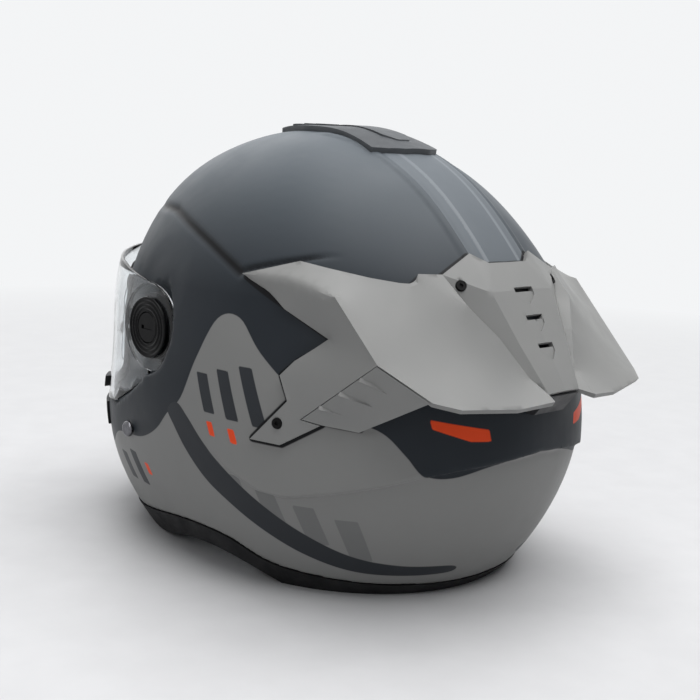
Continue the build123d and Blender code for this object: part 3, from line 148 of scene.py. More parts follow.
# Lines on the shell, millimetres, on the wearer's left and mirrored
FRONT_GROOVE = ((62, -108, 210), (83.6, -73.9, 212.6), (91.3, -53, 212.1), (101.4, -22, 204),
                (106.5, 1.9, 196.4), (109.6, 22.5, 188.4), (110.4, 34.8, 183.1))
UPPER_GROOVE = ((109.3, 38, 184.5), (105.8, 48.9, 187.7), (101.7, 58.7, 190.2), (96.7, 68.9, 192.5),
                (92, 76.5, 194.3), (86.7, 84.6, 195.5), (82.3, 91, 195.7))
REAR_CREASE = ((0, 168.7, 90.2), (28.6, 165, 87.7), (51.5, 156, 84.8), (69.9, 144, 80.5),
               (84.8, 128.6, 74.3), (100.4, 106, 67.6), (111, 81, 62), (116.5, 65.7, 63),
               (122.5, 45.7, 71), (126, 26.5, 80.4))

# Pictured shell: its mesh, and the point and weights by which its outer side is told from its inner side
SHELL_VOXEL = 1.5
SHELL_PASSES = 6
RELAX_SHARE = 0.5
SHELL_HEART = (0, 0, 120)
OUTWARD_SHARES = (1, 1, 0.8)

# Raised band behind the crown vent, with a seam at each side and two painted stripes
BAND_START_Y = -2
BAND_START_FADE = 18
BAND_FLOOR = 160
BAND_FLOOR_FADE = 10
BAND_HALF_WIDTH = 28
BAND_EDGE = 1
BAND_RISE = 1.0
BAND_LINE = 23.5
BAND_SEAM = 0.6
BAND_SEAM_WIDTH = 1.1
BAND_PLACE = 14
BAND_STRIPE = 1.6

# Grooves: where along Y they fade, and how far the shadow painted in them narrows there
GROOVE_DEPTH = 1.7
GROOVE_WIDTH = 3.0
GROOVE_FADE = (-108, -82)
GROOVE_END = 4
GROOVE_SHADE_SHARE = 0.8
GROOVE_SOFTNESS = 1.6
EDGE_GROOVE_DEPTH = 1.8
EDGE_GROOVE_WIDTH = 1.5
EDGE_GROOVE_FADE = (72, 93)
EDGE_GROOVE_END = 3
EDGE_GROOVE_SHADE_SHARE = 0.6

# Crease round the rear: its foot in millimetres, its end in degrees
CREASE_RISE = 3.2
CREASE_FOOT = (-1.0, 1.6)
CREASE_FADE = 24
CREASE_END = 12

# Painted shadow in the gap round the spoiler, painted sheen that pales the paint towards the crown, and
# distances stored off a field
GAP_SHADOW_WIDTH = 2.1
GAP_SHADOW_REACH = 6
GAP_SHADOW_SOFTNESS = 0.35
SHEEN_LEVEL = 220
SHEEN_SOFTNESS = 50
OFF_FIELD = 50
OFF_SHEEN = 500

# Room for the raised visor's rear upper corner
VISOR_CORNER = (115, -38, 170)
VISOR_CORNER_REACH = 34
VISOR_CORNER_SHARE = 0.4
VISOR_ROOM = 0.9

# Mouldings: points closer than the weld are joined, faces flatter than the angle in degrees too
WELD = 0.01
FLAT_ANGLE = 2

# Spoiler: half width of its middle panel along Y, angle of a rim in degrees, and how its folds are softened
WING_LINE = ((62, 100), (61.5, 120), (49, 149), (36, 162), (23, 175), (21, 195))
RIM_ANGLE = 66
FOLD_EDGE = 4.5
FOLD_SPLITS = 6
FOLD_SPREAD = 9
FOLD_PASSES = 55
FOLD_SHARE = 0.5

# Pivot rings: ridges from a radius to a radius at a pitch, on the side that faces outwards
PIVOT = (-41.52, 140.98)
RING_VOXEL = 0.5
RING_RIDGES = (9.5, 17.5, 2.7)
RING_RIDGE_DEPTH = 0.7
RING_FACE_SHARE = 0.6

# Crown vent housing: centre of its curve, and the angle in degrees behind which it is shortened
VENT_CENTRE = (9.97, 148.1)
VENT_TAIL = 22.3
VENT_TAIL_SHARE = 0.45

# Soft pieces
CLOTH_STEPS = 15
CLOTH_MASS = 0.3
STRAP_VOXEL = 1.0
STRAP_INSET = 0.15

# Studio, metres and watts; each lamp with its place, the height it points at, its side and its power
WORLD_LIGHT = 0.16
FLOOR_HALF_SIDE = 6
FLOOR_FADE = (0.4, 1.35)
LAMPS = (("key", (-0.2, 0.3, 1.9), 0.15, 2.1, 56),
         ("side", (1.7, 0.5, 1.3), 0.13, 1.0, 5.5),
         ("front", (-0.4, -1.8, 1.2), 0.13, 1.5, 6))


def smooth_step(low, high, values):
    """Smooth rise from 0 at low to 1 at high."""
    t = np.clip((values - low) / (high - low), 0, 1)
    return t * t * (3 - 2 * t)


def line_distance(points, line):
    """Distance of each point from a line of points, in the points' own unit."""
    best = np.full(len(points), FAR)
    for start, end in zip(line[:-1], line[1:]):
        a = np.array(start, float)
        along = np.array(end, float) - a
        t = np.clip((points - a) @ along / (along @ along), 0, 1)
        best = np.minimum(best, np.linalg.norm(points - a - t[:, None] * along, axis=1))
    return best


def rounded(outline, steps=6):
    """Closed outline with a smooth curve through its points."""
    points = [np.array(point, float) for point in outline]
    count = len(points)
    curve = []
    for i in range(count):
        p0, p1, p2, p3 = (points[(i + k - 1) % count] for k in range(4))
        for step in range(steps):
            t = step / steps
            curve.append(0.5 * (2 * p1 + (p2 - p0) * t + (2 * p0 - 5 * p1 + 4 * p2 - p3) * t * t
                                + (3 * p1 - p0 - 3 * p2 + p3) * t ** 3))
    return [tuple(point) for point in curve]


def field_distance(flat, outline):
    """Signed distance to a closed outline on the map: below zero inside."""
    scaled = [(angle * MAP_SCALE, height) for angle, height in outline]
    distance = line_distance(flat, scaled + scaled[:1])
    inside = np.zeros(len(flat), bool)
    for (x0, y0), (x1, y1) in zip(scaled, scaled[1:] + scaled[:1]):
        if y0 == y1:
            continue
        crosses = (y0 > flat[:, 1]) != (y1 > flat[:, 1])
        inside ^= crosses & (flat[:, 0] < (x1 - x0) * (flat[:, 1] - y0) / (y1 - y0) + x0)
    return np.where(inside, -distance, distance)


def union(flat, outlines):
    """Signed distance to the nearest of several outlines."""
    return np.min([field_distance(flat, outline) for outline in outlines], axis=0)


def bar(angle, top, length, width):
    """Slanted bar on the map, from its upper end."""
    lean = length * SLANT / MAP_SCALE
    low = top - length
    return (angle, top), (angle + width, top), (angle + width - lean, low), (angle - lean, low)


def map_angle(points):
    """Degrees of each point from the middle of the back, the same on both sides."""
    return np.degrees(np.arctan2(np.abs(points[:, 0]), points[:, 1] - MAP_CENTRE_Y))


def new_object(name, data):
    """Object of a mesh, camera or lamp, linked into the scene."""
    obj = bpy.data.objects.new(name, data)
    bpy.context.scene.collection.objects.link(obj)
    return obj


def baked(obj):
    """Applies the object's modifiers to its mesh."""
    graph = bpy.context.evaluated_depsgraph_get()
    mesh = bpy.data.meshes.new_from_object(obj.evaluated_get(graph))
    obj.modifiers.clear()
    obj.data = mesh


def dense_copy(node, name, voxel, passes=2):
    """Evenly meshed copy of a node, its voxel in millimetres."""
    obj = new_object(name, NODES[node].data.copy())
    obj.data.materials.clear()
    remesh = obj.modifiers.new("remesh", "REMESH")
    remesh.mode = "VOXEL"
    remesh.voxel_size = voxel * MM
    remesh.use_smooth_shade = True
    relax = obj.modifiers.new("relax", "SMOOTH")
    relax.factor = RELAX_SHARE
    relax.iterations = passes
    baked(obj)
    obj.data.shade_smooth()
    return obj


def coordinates(obj):
    """Points and normals of a mesh in millimetres from the shell's middle."""
    mesh = obj.data
    points = np.empty(len(mesh.vertices) * 3, np.float32)
    mesh.vertices.foreach_get("co", points)
    normals = np.empty(len(mesh.vertices) * 3, np.float32)
    mesh.vertices.foreach_get("normal", normals)
    points = points.reshape(-1, 3).astype(float) / MM - (0, SHELL_Y, 0)
    return points, normals.reshape(-1, 3).astype(float)


def set_points(obj, points):
    """Writes points in millimetres from the shell's middle back to a mesh."""
    placed = (points + (0, SHELL_Y, 0)) * MM
    obj.data.vertices.foreach_set("co", placed.astype(np.float32).ravel())
    obj.data.update()


def store(obj, name, values):
    """Keeps a value at each point for the material to read."""
    attribute = obj.data.attributes.new(name, "FLOAT", "POINT")
    attribute.data.foreach_set("value", values.astype(np.float32))


class Surface:
    """Node material built on one Principled shader."""

    def __init__(self, name, colour, rough, **sockets):
        self.material = bpy.data.materials.new(name)
        self.material.use_nodes = True
        self.nodes = self.material.node_tree.nodes
        self.links = self.material.node_tree.links
        self.shader = self.nodes["Principled BSDF"]
        self.shader.inputs["Base Color"].default_value = (*colour, 1)
        self.shader.inputs["Roughness"].default_value = rough
        for socket, value in sockets.items():
            self.shader.inputs[socket.replace("_", " ")].default_value = value
        self.place = self.nodes.new("ShaderNodeTexCoord").outputs["Object"]
        self.colour = None
        self.flat = colour

    def noise(self, size, detail=3.0):
        """Noise whose features are about size millimetres."""
        node = self.nodes.new("ShaderNodeTexNoise")
        node.inputs["Scale"].default_value = 1 / (size * MM)
        node.inputs["Detail"].default_value = detail
        node.inputs["Roughness"].default_value = NOISE_ROUGHNESS
        self.links.new(self.place, node.inputs["Vector"])
        return node.outputs["Fac"]

    def ramp(self, source, low, high, start=0.0, end=1.0):
        """Maps a value's range to another, clamped."""
        node = self.nodes.new("ShaderNodeMapRange")
        node.inputs["From Min"].default_value = low
        node.inputs["From Max"].default_value = high
        node.inputs["To Min"].default_value = start
        node.inputs["To Max"].default_value = end
        self.links.new(source, node.inputs["Value"])
        return node.outputs["Result"]

    def blend(self, mask, colour):
        """Lays a colour over what is there, where the mask is 1."""
        node = self.nodes.new("ShaderNodeMix")
        node.data_type = "RGBA"
        self.links.new(mask, node.inputs["Factor"])
        if self.colour is None:
            node.inputs["A"].default_value = (*self.flat, 1)
        else:
            self.links.new(self.colour, node.inputs["A"])
        node.inputs["B"].default_value = (*colour, 1)
        self.colour = node.outputs["Result"]
        self.links.new(self.colour, self.shader.inputs["Base Color"])

    def clouded(self, size, colour, low=NOISE_LOW, high=NOISE_HIGH, share=1, detail=3.0):
        """Lays a colour over in soft patches of about size millimetres."""
        self.blend(self.ramp(self.noise(size, detail), low, high, 0, share), colour)

    def field(self, attribute, colour, soft=0.25):
        """Lays a colour inside a stored field."""
        node = self.nodes.new("ShaderNodeAttribute")
        node.attribute_name = attribute
        self.blend(self.ramp(node.outputs["Fac"], -soft, soft, 1, 0), colour)

    def worn(self, colour, low=0.53, high=0.60, share=0.6):
        """Paler colour along raised edges."""
        edge = self.nodes.new("ShaderNodeNewGeometry").outputs["Pointiness"]
        self.blend(self.ramp(edge, low, high, 0, share), colour)

    def relief(self, source, height):
        """Fine relief of a height in millimetres from a value."""
        node = self.nodes.new("ShaderNodeBump")
        node.inputs["Distance"].default_value = height * MM
        self.links.new(source, node.inputs["Height"])
        self.links.new(node.outputs["Normal"], self.shader.inputs["Normal"])

    def grain(self, size, height, detail=3.0):
        """Grain of a size and a height in millimetres."""
        self.relief(self.noise(size, detail), height)

    def mottled(self, size, low, high):
        """Uneven roughness between two values."""
        rough = self.ramp(self.noise(size), NOISE_LOW, NOISE_HIGH, low, high)
        self.links.new(rough, self.shader.inputs["Roughness"])

    def on(self, obj):
        """Gives the material to an object."""
        obj.data.materials.clear()
        obj.data.materials.append(self.material)


def onto_nodes(surface, *names):
    """Gives the material to nodes, in the slots that they have."""
    for name in names:
        node = NODES[name]
        if not node.material_slots:
            node.data.materials.append(surface.material)
        for slot in node.material_slots:
            slot.material = surface.material


# Materials

paint = Surface("matte_paint", DARK_SLATE, 0.46, Specular_IOR_Level=0.12)
paint.clouded(55, SLATE_CLOUD, share=0.6, detail=2.0)
# Painted sheen: the paint pales towards the crown, where the overhead light falls
paint.field("top", PAINTED_SHEEN, SHEEN_SOFTNESS)
# Band stripes: a paint pattern, in tones lightened for painted sheen, as on the crown
paint.field("band", BAND_DARK)
paint.field("band_line", BAND_GREY)
paint.field("light", LIGHT_GREY)
paint.field("ghost", MID_GREY)
paint.field("bars", SWEEP_GREY)
paint.field("sweep", SWEEP_GREY)
paint.field("accent", ACCENT)
# Painted shade in the front and upper grooves
paint.field("groove", SHADOW, GROOVE_SOFTNESS)
# Painted shadow in the gap round the spoiler and its outlet covers
paint.field("gap_shadow", SHADOW, GAP_SHADOW_SOFTNESS)
paint.grain(0.35, 0.012, 2.0)
paint.mottled(30, 0.38, 0.47)

grey_plastic = Surface("spoiler_paint", LIGHT_GREY, 0.45, Specular_IOR_Level=0.25)
grey_plastic.clouded(40, LIGHT_CLOUD, share=0.5, detail=2.0)
grey_plastic.grain(0.4, 0.012, 2.0)
grey_plastic.mottled(22, 0.40, 0.50)

black_plastic = Surface("black_moulding", BLACK, 0.5, Specular_IOR_Level=0.25)
black_plastic.clouded(9, BLACK_CLOUD, 0.3, 0.7)
black_plastic.worn(BLACK_WORN)
black_plastic.grain(0.5, 0.03)
black_plastic.mottled(12, 0.42, 0.6)

vent_plastic = Surface("vent_moulding", VENT_GREY, 0.5, Specular_IOR_Level=0.2)
vent_plastic.clouded(16, VENT_CLOUD, 0.3, 0.7)
vent_plastic.worn(VENT_WORN)
vent_plastic.grain(0.4, 0.02)
vent_plastic.mottled(12, 0.40, 0.52)

gloss_black = Surface("gloss_black", GLOSS, 0.06, Specular_IOR_Level=0.09)
gloss_black.clouded(6, GLOSS_CLOUD, 0.4, 0.6)
gloss_black.grain(3.5, 0.01)
gloss_black.mottled(5, 0.06, 0.16)

rubber = Surface("edge_rubber", RUBBER, 0.62, Specular_IOR_Level=0.1)
rubber.clouded(14, RUBBER_CLOUD, 0.35, 0.7)
rubber.grain(0.7, 0.04)
rubber.mottled(9, 0.55, 0.72)

glass = Surface("clear_shield", CLEAR, 0.02, Transmission_Weight=1.0, IOR=1.3)
glass.clouded(70, CLEAR_CLOUD, 0.4, 0.6)
glass.mottled(25, 0.012, 0.03)

screw_black = Surface("screw_black", SCREW, 0.6, Specular_IOR_Level=0.08)
screw_black.clouded(5, SCREW_CLOUD, 0.35, 0.7)
screw_black.grain(0.6, 0.02)
screw_black.mottled(5, 0.5, 0.7)

foam = Surface("dark_foam", FOAM, 0.85)
foam_cells = foam.nodes.new("ShaderNodeTexVoronoi")
foam_cells.inputs["Scale"].default_value = 1 / (FOAM_CELL * MM)
foam.links.new(foam.place, foam_cells.inputs["Vector"])
foam.blend(foam.ramp(foam_cells.outputs["Distance"], 0.1, 0.7), FOAM_RIM)
foam.grain(3, 0.15)
foam.mottled(8, 0.8, 0.92)

steel = Surface("brushed_steel", STEEL, 0.32, Metallic=1.0)
steel.clouded(4, STEEL_CLOUD, 0.4, 0.6)
steel.grain(0.8, 0.01)
steel.mottled(3, 0.24, 0.4)

chrome = Surface("dark_chrome", CHROME, 0.1, Metallic=1.0)
chrome.clouded(3, CHROME_CLOUD, 0.4, 0.6)
chrome.grain(2, 0.01)
chrome.mottled(3, 0.08, 0.18)


def knit(name, colour, pale, pitch):
    """Knitted cloth: two crossed waves of a pitch in millimetres, with a soft sheen."""
    surface = Surface(name, colour, 0.9, Sheen_Weight=0.35, Sheen_Roughness=0.5)
    heights = []
    for direction in ("X", "Z"):
        wave = surface.nodes.new("ShaderNodeTexWave")
        wave.bands_direction = direction
        wave.inputs["Scale"].default_value = WAVE_PERIOD / (pitch * MM)
        wave.inputs["Distortion"].default_value = KNIT_DISTORTION
        surface.links.new(surface.place, wave.inputs["Vector"])
        heights.append(wave.outputs["Fac"])
    product = surface.nodes.new("ShaderNodeMath")
    product.operation = "MULTIPLY"
    surface.links.new(heights[0], product.inputs[0])
    surface.links.new(heights[1], product.inputs[1])
    surface.blend(surface.ramp(product.outputs[0], 0.1, 0.8), pale)
    surface.relief(product.outputs[0], KNIT_RELIEF)
    surface.mottled(20, 0.82, 0.95)
    return surface


lining = knit("lining_knit", FABRIC, FABRIC_PALE, 1.6)
webbing = knit("webbing", WEBBING, WEBBING_PALE, 1.1)


# Painted shell

def gap_to(points, names):
    """Distance of each point to the nearest of several nodes, in millimetres, where it is small."""
    nearest = np.full(len(points), float(GAP_SHADOW_REACH))
    placed = (points + (0, SHELL_Y, 0)) * MM
    graph = bpy.context.evaluated_depsgraph_get()
    for name in names:
        tree = BVHTree.FromObject(NODES[name], graph)
        corners = np.array([vertex.co for vertex in NODES[name].data.vertices])
        low, high = corners.min(axis=0) - GAP_SHADOW_REACH * MM, corners.max(axis=0) + GAP_SHADOW_REACH * MM
        for index in np.nonzero(((placed > low) & (placed < high)).all(axis=1))[0]:
            distance = tree.find_nearest(placed[index], GAP_SHADOW_REACH * MM)[3]
            if distance is not None:
                nearest[index] = min(nearest[index], distance / MM)
    return nearest


def band_and_crease(points):
    """Height of the raised band with its seams and of the crease round the rear, in millimetres."""
    across = np.abs(points[:, 0])
    on_top = smooth_step(BAND_START_Y, BAND_START_Y + BAND_START_FADE, points[:, 1])
    on_top *= smooth_step(BAND_FLOOR - BAND_FLOOR_FADE, BAND_FLOOR + BAND_FLOOR_FADE, points[:, 2])
    beside = smooth_step(BAND_HALF_WIDTH - BAND_EDGE, BAND_HALF_WIDTH + BAND_EDGE, across)
    seams = np.exp(-((across - BAND_LINE) / BAND_SEAM_WIDTH) ** 2)
    band = on_top * (BAND_RISE * (1 - beside) - BAND_SEAM * seams)
    crease = np.array(REAR_CREASE)
    crease_angle = map_angle(crease)
    angle = map_angle(points)
    above = points[:, 2] - np.interp(angle, crease_angle, crease[:, 2])
    end = 1 - smooth_step(crease_angle[-1] - CREASE_END, crease_angle[-1], angle)
    slope = smooth_step(*CREASE_FOOT, above) * np.exp(-np.maximum(above, 0) / CREASE_FADE)
    return band + end * CREASE_RISE * slope


def store_paint(obj, points, outside):
    """Stores how far each point lies from each paint field: below zero inside."""
    flat = np.stack([map_angle(points) * MAP_SCALE, points[:, 2]], axis=1)
    ghosts = [bar(GHOST_START[0] + i * GHOST_STEP[0], GHOST_START[1] + i * GHOST_STEP[1],
                  GHOST_LENGTH - GHOST_SHRINK * i, GHOST_WIDTH) for i in range(GHOST_COUNT)]
    bars = [bar(*start, BAR_WIDTH) for start in BAR_STARTS]
    accents = [bar(*start, ACCENT_WIDTH) for start in ACCENT_STARTS] + [REAR_ACCENT]
    store(obj, "light", field_distance(flat, rounded(LIGHT_FIELD)))
    store(obj, "ghost", union(flat, ghosts))
    store(obj, "bars", union(flat, bars))
    store(obj, "sweep", field_distance(flat, rounded(SWEEP_FIELD)))
    store(obj, "accent", union(flat, accents))
    # Painted sheen: height below a level, so the outer paint pales towards the crown
    store(obj, "top", np.where(outside, SHEEN_LEVEL - points[:, 2], OFF_SHEEN))
    across = np.abs(points[:, 0])
    off_band = np.where((points[:, 1] > BAND_START_Y) & (points[:, 2] > BAND_FLOOR), 0, OFF_FIELD)
    store(obj, "band", np.maximum(across - BAND_LINE, off_band))
    store(obj, "band_line", np.maximum(np.abs(across - BAND_PLACE) - BAND_STRIPE, off_band))


def painted_shell():
    """Shell with its raised band, grooves, crease and paint fields, painted sheen and painted shade among
    them.
    """
    obj = dense_copy("outer_shell", "painted_shell", SHELL_VOXEL, SHELL_PASSES)
    points, normals = coordinates(obj)
    outside = np.einsum("ij,ij->i", normals, (points - SHELL_HEART) * OUTWARD_SHARES) > 0
    folded = points.copy()
    folded[:, 0] = np.abs(folded[:, 0])
    groove = line_distance(folded, FRONT_GROOVE)
    edge_groove = line_distance(folded, UPPER_GROOVE)
    groove_share = smooth_step(*GROOVE_FADE, points[:, 1])
    edge_share = 1 - smooth_step(*EDGE_GROOVE_FADE, points[:, 1])
    move = band_and_crease(points)
    move -= GROOVE_DEPTH * groove_share * np.exp(-(groove / GROOVE_WIDTH) ** 2)
    move -= EDGE_GROOVE_DEPTH * edge_share * np.exp(-(edge_groove / EDGE_GROOVE_WIDTH) ** 2)
    move[~outside] = 0
    corner = np.linalg.norm(folded - VISOR_CORNER, axis=1)
    clear = smooth_step(VISOR_CORNER_REACH * VISOR_CORNER_SHARE, VISOR_CORNER_REACH, corner)
    move -= VISOR_ROOM * (1 - clear)
    set_points(obj, points + normals * move[:, None])
    store_paint(obj, points, outside)
    # Painted shade along the grooves, narrowed where each groove fades out
    shade = groove + GROOVE_END * (1 - groove_share) - GROOVE_WIDTH * GROOVE_SHADE_SHARE
    edge_shade = edge_groove + EDGE_GROOVE_END * (1 - edge_share)
    edge_shade -= EDGE_GROOVE_WIDTH * EDGE_GROOVE_SHADE_SHARE
    store(obj, "groove", np.where(outside, np.minimum(shade, edge_shade), OFF_FIELD))
    # Painted shadow within a short width of the spoiler's and outlet covers' edges
    gap_shadow = gap_to(points, ("spoiler", "exhaust_cover_left", "exhaust_cover_right"))
    store(obj, "gap_shadow", gap_shadow - GAP_SHADOW_WIDTH)
    paint.on(obj)
    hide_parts("outer_shell")
    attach(obj, "root")


# Mouldings

def soft_folds(mesh):
    """Rounds the folds of the spoiler's wings; their rims and the middle panel stay as they are."""
    bmesh.ops.dissolve_limit(mesh, angle_limit=math.radians(FLAT_ANGLE), verts=mesh.verts, edges=mesh.edges)
    bmesh.ops.triangulate(mesh, faces=mesh.faces)
    for _ in range(FOLD_SPLITS):
        long_edges = [edge for edge in mesh.edges if edge.calc_length() > FOLD_EDGE * MM]
        bmesh.ops.subdivide_edges(mesh, edges=long_edges, cuts=1)
        bmesh.ops.triangulate(mesh, faces=[face for face in mesh.faces if len(face.verts) > 3])
    mesh.verts.index_update()
    points = np.array([vertex.co for vertex in mesh.verts]) / MM - (0, SHELL_Y, 0)
    line = np.array(WING_LINE)
    held = np.abs(points[:, 0]) < np.interp(points[:, 1], line[:, 1], line[:, 0])
    limit = math.radians(RIM_ANGLE)
    for edge in mesh.edges:
        if edge.calc_face_angle(math.pi) > limit:
            held[[vertex.index for vertex in edge.verts]] = True
    reach = np.full(len(points), FAR)
    for place in points[held]:
        reach = np.minimum(reach, np.linalg.norm(points - place, axis=1))
    weight = smooth_step(0, FOLD_SPREAD, reach)[:, None] * FOLD_SHARE
    ends = np.array([[vertex.index for vertex in edge.verts] for edge in mesh.edges])
    degree = np.bincount(ends.ravel(), minlength=len(points))[:, None]
    for _ in range(FOLD_PASSES):
        total = np.zeros_like(points)
        np.add.at(total, ends[:, 0], points[ends[:, 1]])
        np.add.at(total, ends[:, 1], points[ends[:, 0]])
        points += weight * (total / degree - points)
    for vertex, place in zip(mesh.verts, (points + (0, SHELL_Y, 0)) * MM):
        vertex.co = place


def moulded(node, name, bevel, surface, body="root", segments=3, crisp=24, shade=35, folds=False):
    """Copy of a node with rounded corners: bevel in millimetres, corners and shading by angles in degrees."""
    obj = new_object(name, NODES[node].data.copy())
    mesh = bmesh.new()
    mesh.from_mesh(obj.data)
    bmesh.ops.remove_doubles(mesh, verts=mesh.verts, dist=WELD * MM)
    if folds:
        soft_folds(mesh)
    clean = bpy.data.meshes.new(name)
    mesh.to_mesh(clean)
    mesh.free()
    obj.data = clean
    edge = obj.modifiers.new("bevel", "BEVEL")
    edge.width = bevel * MM
    edge.segments = segments
    edge.limit_method = "ANGLE"
    edge.angle_limit = math.radians(crisp)
    edge.use_clamp_overlap = True
    baked(obj)
    obj.data.shade_smooth()
    obj.data.set_sharp_from_angle(angle=math.radians(shade))
    surface.on(obj)
    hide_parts(node)
    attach(obj, body)
    return obj


def shortened_tail(obj):
    """Draws in the rear end of the crown vent's housing along the shell."""
    points, _ = coordinates(obj)
    back = points[:, 1] - VENT_CENTRE[0]
    up = points[:, 2] - VENT_CENTRE[1]
    radius = np.hypot(back, up)
    angle = np.degrees(np.arctan2(back, up))
    angle = np.radians(np.where(angle > VENT_TAIL, VENT_TAIL + (angle - VENT_TAIL) * VENT_TAIL_SHARE, angle))
    points[:, 1] = VENT_CENTRE[0] + radius * np.sin(angle)
    points[:, 2] = VENT_CENTRE[1] + radius * np.cos(angle)
    set_points(obj, points)


def ridged_ring(side):
    """Visor pivot ring with the turned ridges of its face."""
    obj = dense_copy("visor_pivot_ring_" + side, "ridged_ring_" + side, RING_VOXEL)
    points, normals = coordinates(obj)
    start, end, pitch = RING_RIDGES
    radius = np.hypot(points[:, 1] - PIVOT[0], points[:, 2] - PIVOT[1])
    wave = 0.5 - 0.5 * np.cos((radius - start) / pitch * 2 * np.pi)
    outwards = np.sign(points[:, 0])
    face = (normals[:, 0] * outwards > RING_FACE_SHARE) & (radius > start) & (radius < end)
    points[:, 0] -= outwards * RING_RIDGE_DEPTH * wave * face
    set_points(obj, points)
    gloss_black.on(obj)
    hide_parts("visor_pivot_ring_" + side)
    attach(obj, "visor")


# Soft lining

def cushion(node, name, shrink, pressure, cap, voxel=4.5):
    """Padded copy of a soft node: drawn in, then swollen by pressure up to a cap, in millimetres."""
    obj = dense_copy(node, name, voxel)
    points, normals = coordinates(obj)
    start = points - normals * shrink
    set_points(obj, start)
    cloth = obj.modifiers.new("cloth", "CLOTH")
    cloth.settings.use_pressure = True
    cloth.settings.uniform_pressure_force = pressure
    cloth.settings.effector_weights.gravity = 0
    cloth.settings.mass = CLOTH_MASS
    scene = bpy.context.scene
    for step in range(CLOTH_STEPS):
        scene.frame_set(step + 1)
    baked(obj)
    scene.frame_set(1)
    swollen, _ = coordinates(obj)
    shift = swollen - start
    length = np.linalg.norm(shift, axis=1)
    shift *= np.minimum(1, cap / np.maximum(length, TINY))[:, None]
    set_points(obj, start + shift)
    finer = obj.modifiers.new("finer", "SUBSURF")
    finer.levels = finer.render_levels = 1
    baked(obj)
    obj.data.shade_smooth()
    lining.on(obj)
    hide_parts(node)
    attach(obj, "root")


def strap(node, name):
    """Woven strap with a soft edge, in its node's place."""
    obj = dense_copy(node, name, STRAP_VOXEL)
    points, normals = coordinates(obj)
    set_points(obj, points - normals * STRAP_INSET)
    webbing.on(obj)
    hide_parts(node)
    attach(obj, "root")


# Camera, light and floor

def photo_camera():
    """Camera at the photograph's place."""
    azimuth, elevation = math.radians(CAMERA_AZIMUTH), math.radians(CAMERA_ELEVATION)
    roll = math.radians(CAMERA_ROLL)
    back = Vector((math.sin(azimuth) * math.cos(elevation), -math.cos(azimuth) * math.cos(elevation),
                   math.sin(elevation)))
    right = Vector((math.cos(azimuth), math.sin(azimuth), 0))
    up = back.cross(right)
    target = Vector(AIM) + Vector((0, SHELL_Y, 0)) + right * AIM_RIGHT + up * AIM_UP
    turned_right = right * math.cos(roll) + up * math.sin(roll)
    turned_up = up * math.cos(roll) - right * math.sin(roll)
    data = bpy.data.cameras.new("photo_camera")
    data.sensor_width = SENSOR
    data.lens = FOCAL_PIXELS / PHOTO_SIDE * SENSOR
    data.clip_start = CLIP_START * MM
    camera = new_object("photo_camera", data)
    place = (target + back * CAMERA_DISTANCE) * MM
    rows = [[turned_right[i], turned_up[i], back[i], place[i]] for i in range(3)] + [[0, 0, 0, 1]]
    camera.matrix_world = Matrix(rows)
    bpy.context.scene.camera = camera


def area_light(name, place, height, size, power):
    """Soft square lamp that points at a height over the middle of the floor."""
    data = bpy.data.lights.new(name, "AREA")
    data.size = size
    data.energy = power
    lamp = new_object(name, data)
    lamp.location = place
    lamp.rotation_euler = (Vector((0, 0, height)) - Vector(place)).to_track_quat("-Z", "Y").to_euler()


def seen_mask(tree):
    """1 for rays from the camera, off gloss and through glass."""
    path = tree.nodes.new("ShaderNodeLightPath")
    seen = path.outputs["Is Camera Ray"]
    for ray in ("Is Glossy Ray", "Is Transmission Ray"):
        either = tree.nodes.new("ShaderNodeMath")
        either.operation = "MAXIMUM"
        tree.links.new(seen, either.inputs[0])
        tree.links.new(path.outputs[ray], either.inputs[1])
        seen = either.outputs[0]
    return seen


def mixed(tree, factor, first, second, output):
    """Leads a mix of two shaders to an output node."""
    mix = tree.nodes.new("ShaderNodeMixShader")
    tree.links.new(factor, mix.inputs[0])
    tree.links.new(first, mix.inputs[1])
    tree.links.new(second, mix.inputs[2])
    tree.links.new(mix.outputs[0], tree.nodes[output].inputs["Surface"])


def lit_world():
    """Dim sky for light, and a white surround for what is seen."""
    world = bpy.data.worlds.new("studio")
    bpy.context.scene.world = world
    world.use_nodes = True
    tree = world.node_tree
    lit = tree.nodes["Background"]
    lit.inputs["Color"].default_value = (*SKY, 1)
    lit.inputs["Strength"].default_value = WORLD_LIGHT
    shown = tree.nodes.new("ShaderNodeBackground")
    shown.inputs["Color"].default_value = (*SURROUND, 1)
    mixed(tree, seen_mask(tree), lit.outputs[0], shown.outputs[0], "World Output")


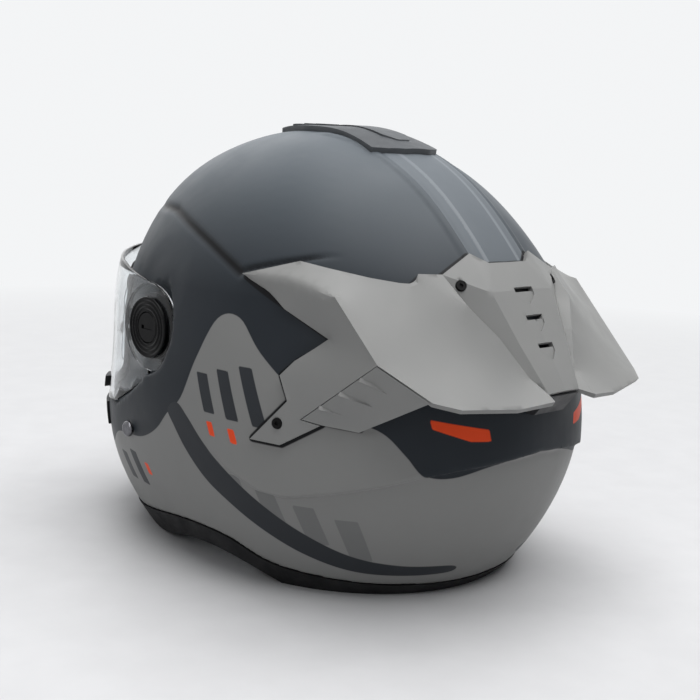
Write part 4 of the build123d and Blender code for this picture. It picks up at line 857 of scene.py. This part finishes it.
def pale_floor():
    """Floor that fades into the white surround."""
    side = FLOOR_HALF_SIDE
    mesh = bpy.data.meshes.new("floor")
    mesh.from_pydata([(-side, -side, 0), (side, -side, 0), (side, side, 0), (-side, side, 0)], [],
                     [(0, 1, 2, 3)])
    floor = new_object("floor", mesh)
    surface = Surface("floor_white", FLOOR, 0.55)
    surface.clouded(30, FLOOR_CLOUD)
    surface.mottled(40, 0.5, 0.6)
    tree = surface.material.node_tree
    distance = surface.nodes.new("ShaderNodeVectorMath")
    distance.operation = "LENGTH"
    surface.links.new(surface.place, distance.inputs[0])
    fade = surface.nodes.new("ShaderNodeMath")
    fade.operation = "MULTIPLY"
    surface.links.new(surface.ramp(distance.outputs["Value"], *FLOOR_FADE), fade.inputs[0])
    surface.links.new(seen_mask(tree), fade.inputs[1])
    white = surface.nodes.new("ShaderNodeEmission")
    white.inputs["Color"].default_value = (*SURROUND, 1)
    mixed(tree, fade.outputs[0], surface.shader.outputs[0], white.outputs[0], "Material Output")
    surface.on(floor)


# Assembly

bpy.context.scene.view_settings.view_transform = "Standard"
photo_camera()
lit_world()
pale_floor()
for lamp in LAMPS:
    area_light(*lamp)
painted_shell()
moulded("spoiler", "rear_spoiler", 0.6, grey_plastic, crisp=50, shade=9, folds=True)
moulded("visor", "clear_shield", 0.5, glass, body="visor", segments=2, crisp=40)
shortened_tail(moulded("top_vent_housing", "crown_vent_housing", 0.5, vent_plastic, shade=25))
for side in ("left", "right"):
    moulded("exhaust_cover_" + side, "outlet_cover_" + side, 0.4, grey_plastic, shade=18)
    cushion("cheek_pad_" + side, "cheek_cushion_" + side, shrink=2.5, pressure=4, cap=3)
    strap("strap_" + side, "chin_strap_" + side)
    ridged_ring(side)
cushion("crown_liner", "crown_lining", shrink=1.2, pressure=1.5, cap=1.2, voxel=4.0)
cushion("neck_roll", "neck_cushion", shrink=2.0, pressure=3, cap=2.0)
strap("chin_curtain", "chin_flap")

onto_nodes(black_plastic, "chin_sill", "chin_vent_cover", "spoiler_bracket", "visor_tab", "lens_pins",
           "buckle_lever", "buckle_tongue", "visor_pivot_base_left", "visor_pivot_base_right")
onto_nodes(vent_plastic, "top_vent_slider")
onto_nodes(gloss_black, "visor_pivot_cap_left", "visor_pivot_cap_right", "chin_vent_shutter")
onto_nodes(rubber, "base_trim", "eye_gasket", "breath_guard")
onto_nodes(screw_black, "spoiler_lug_screws", "spoiler_top_screws")
onto_nodes(glass, "anti_fog_lens")
onto_nodes(foam, "impact_liner", "chin_liner", "cheek_core_left", "cheek_core_right")
onto_nodes(steel, "buckle_body", "buckle_pin")
onto_nodes(chrome, "strap_rivets")
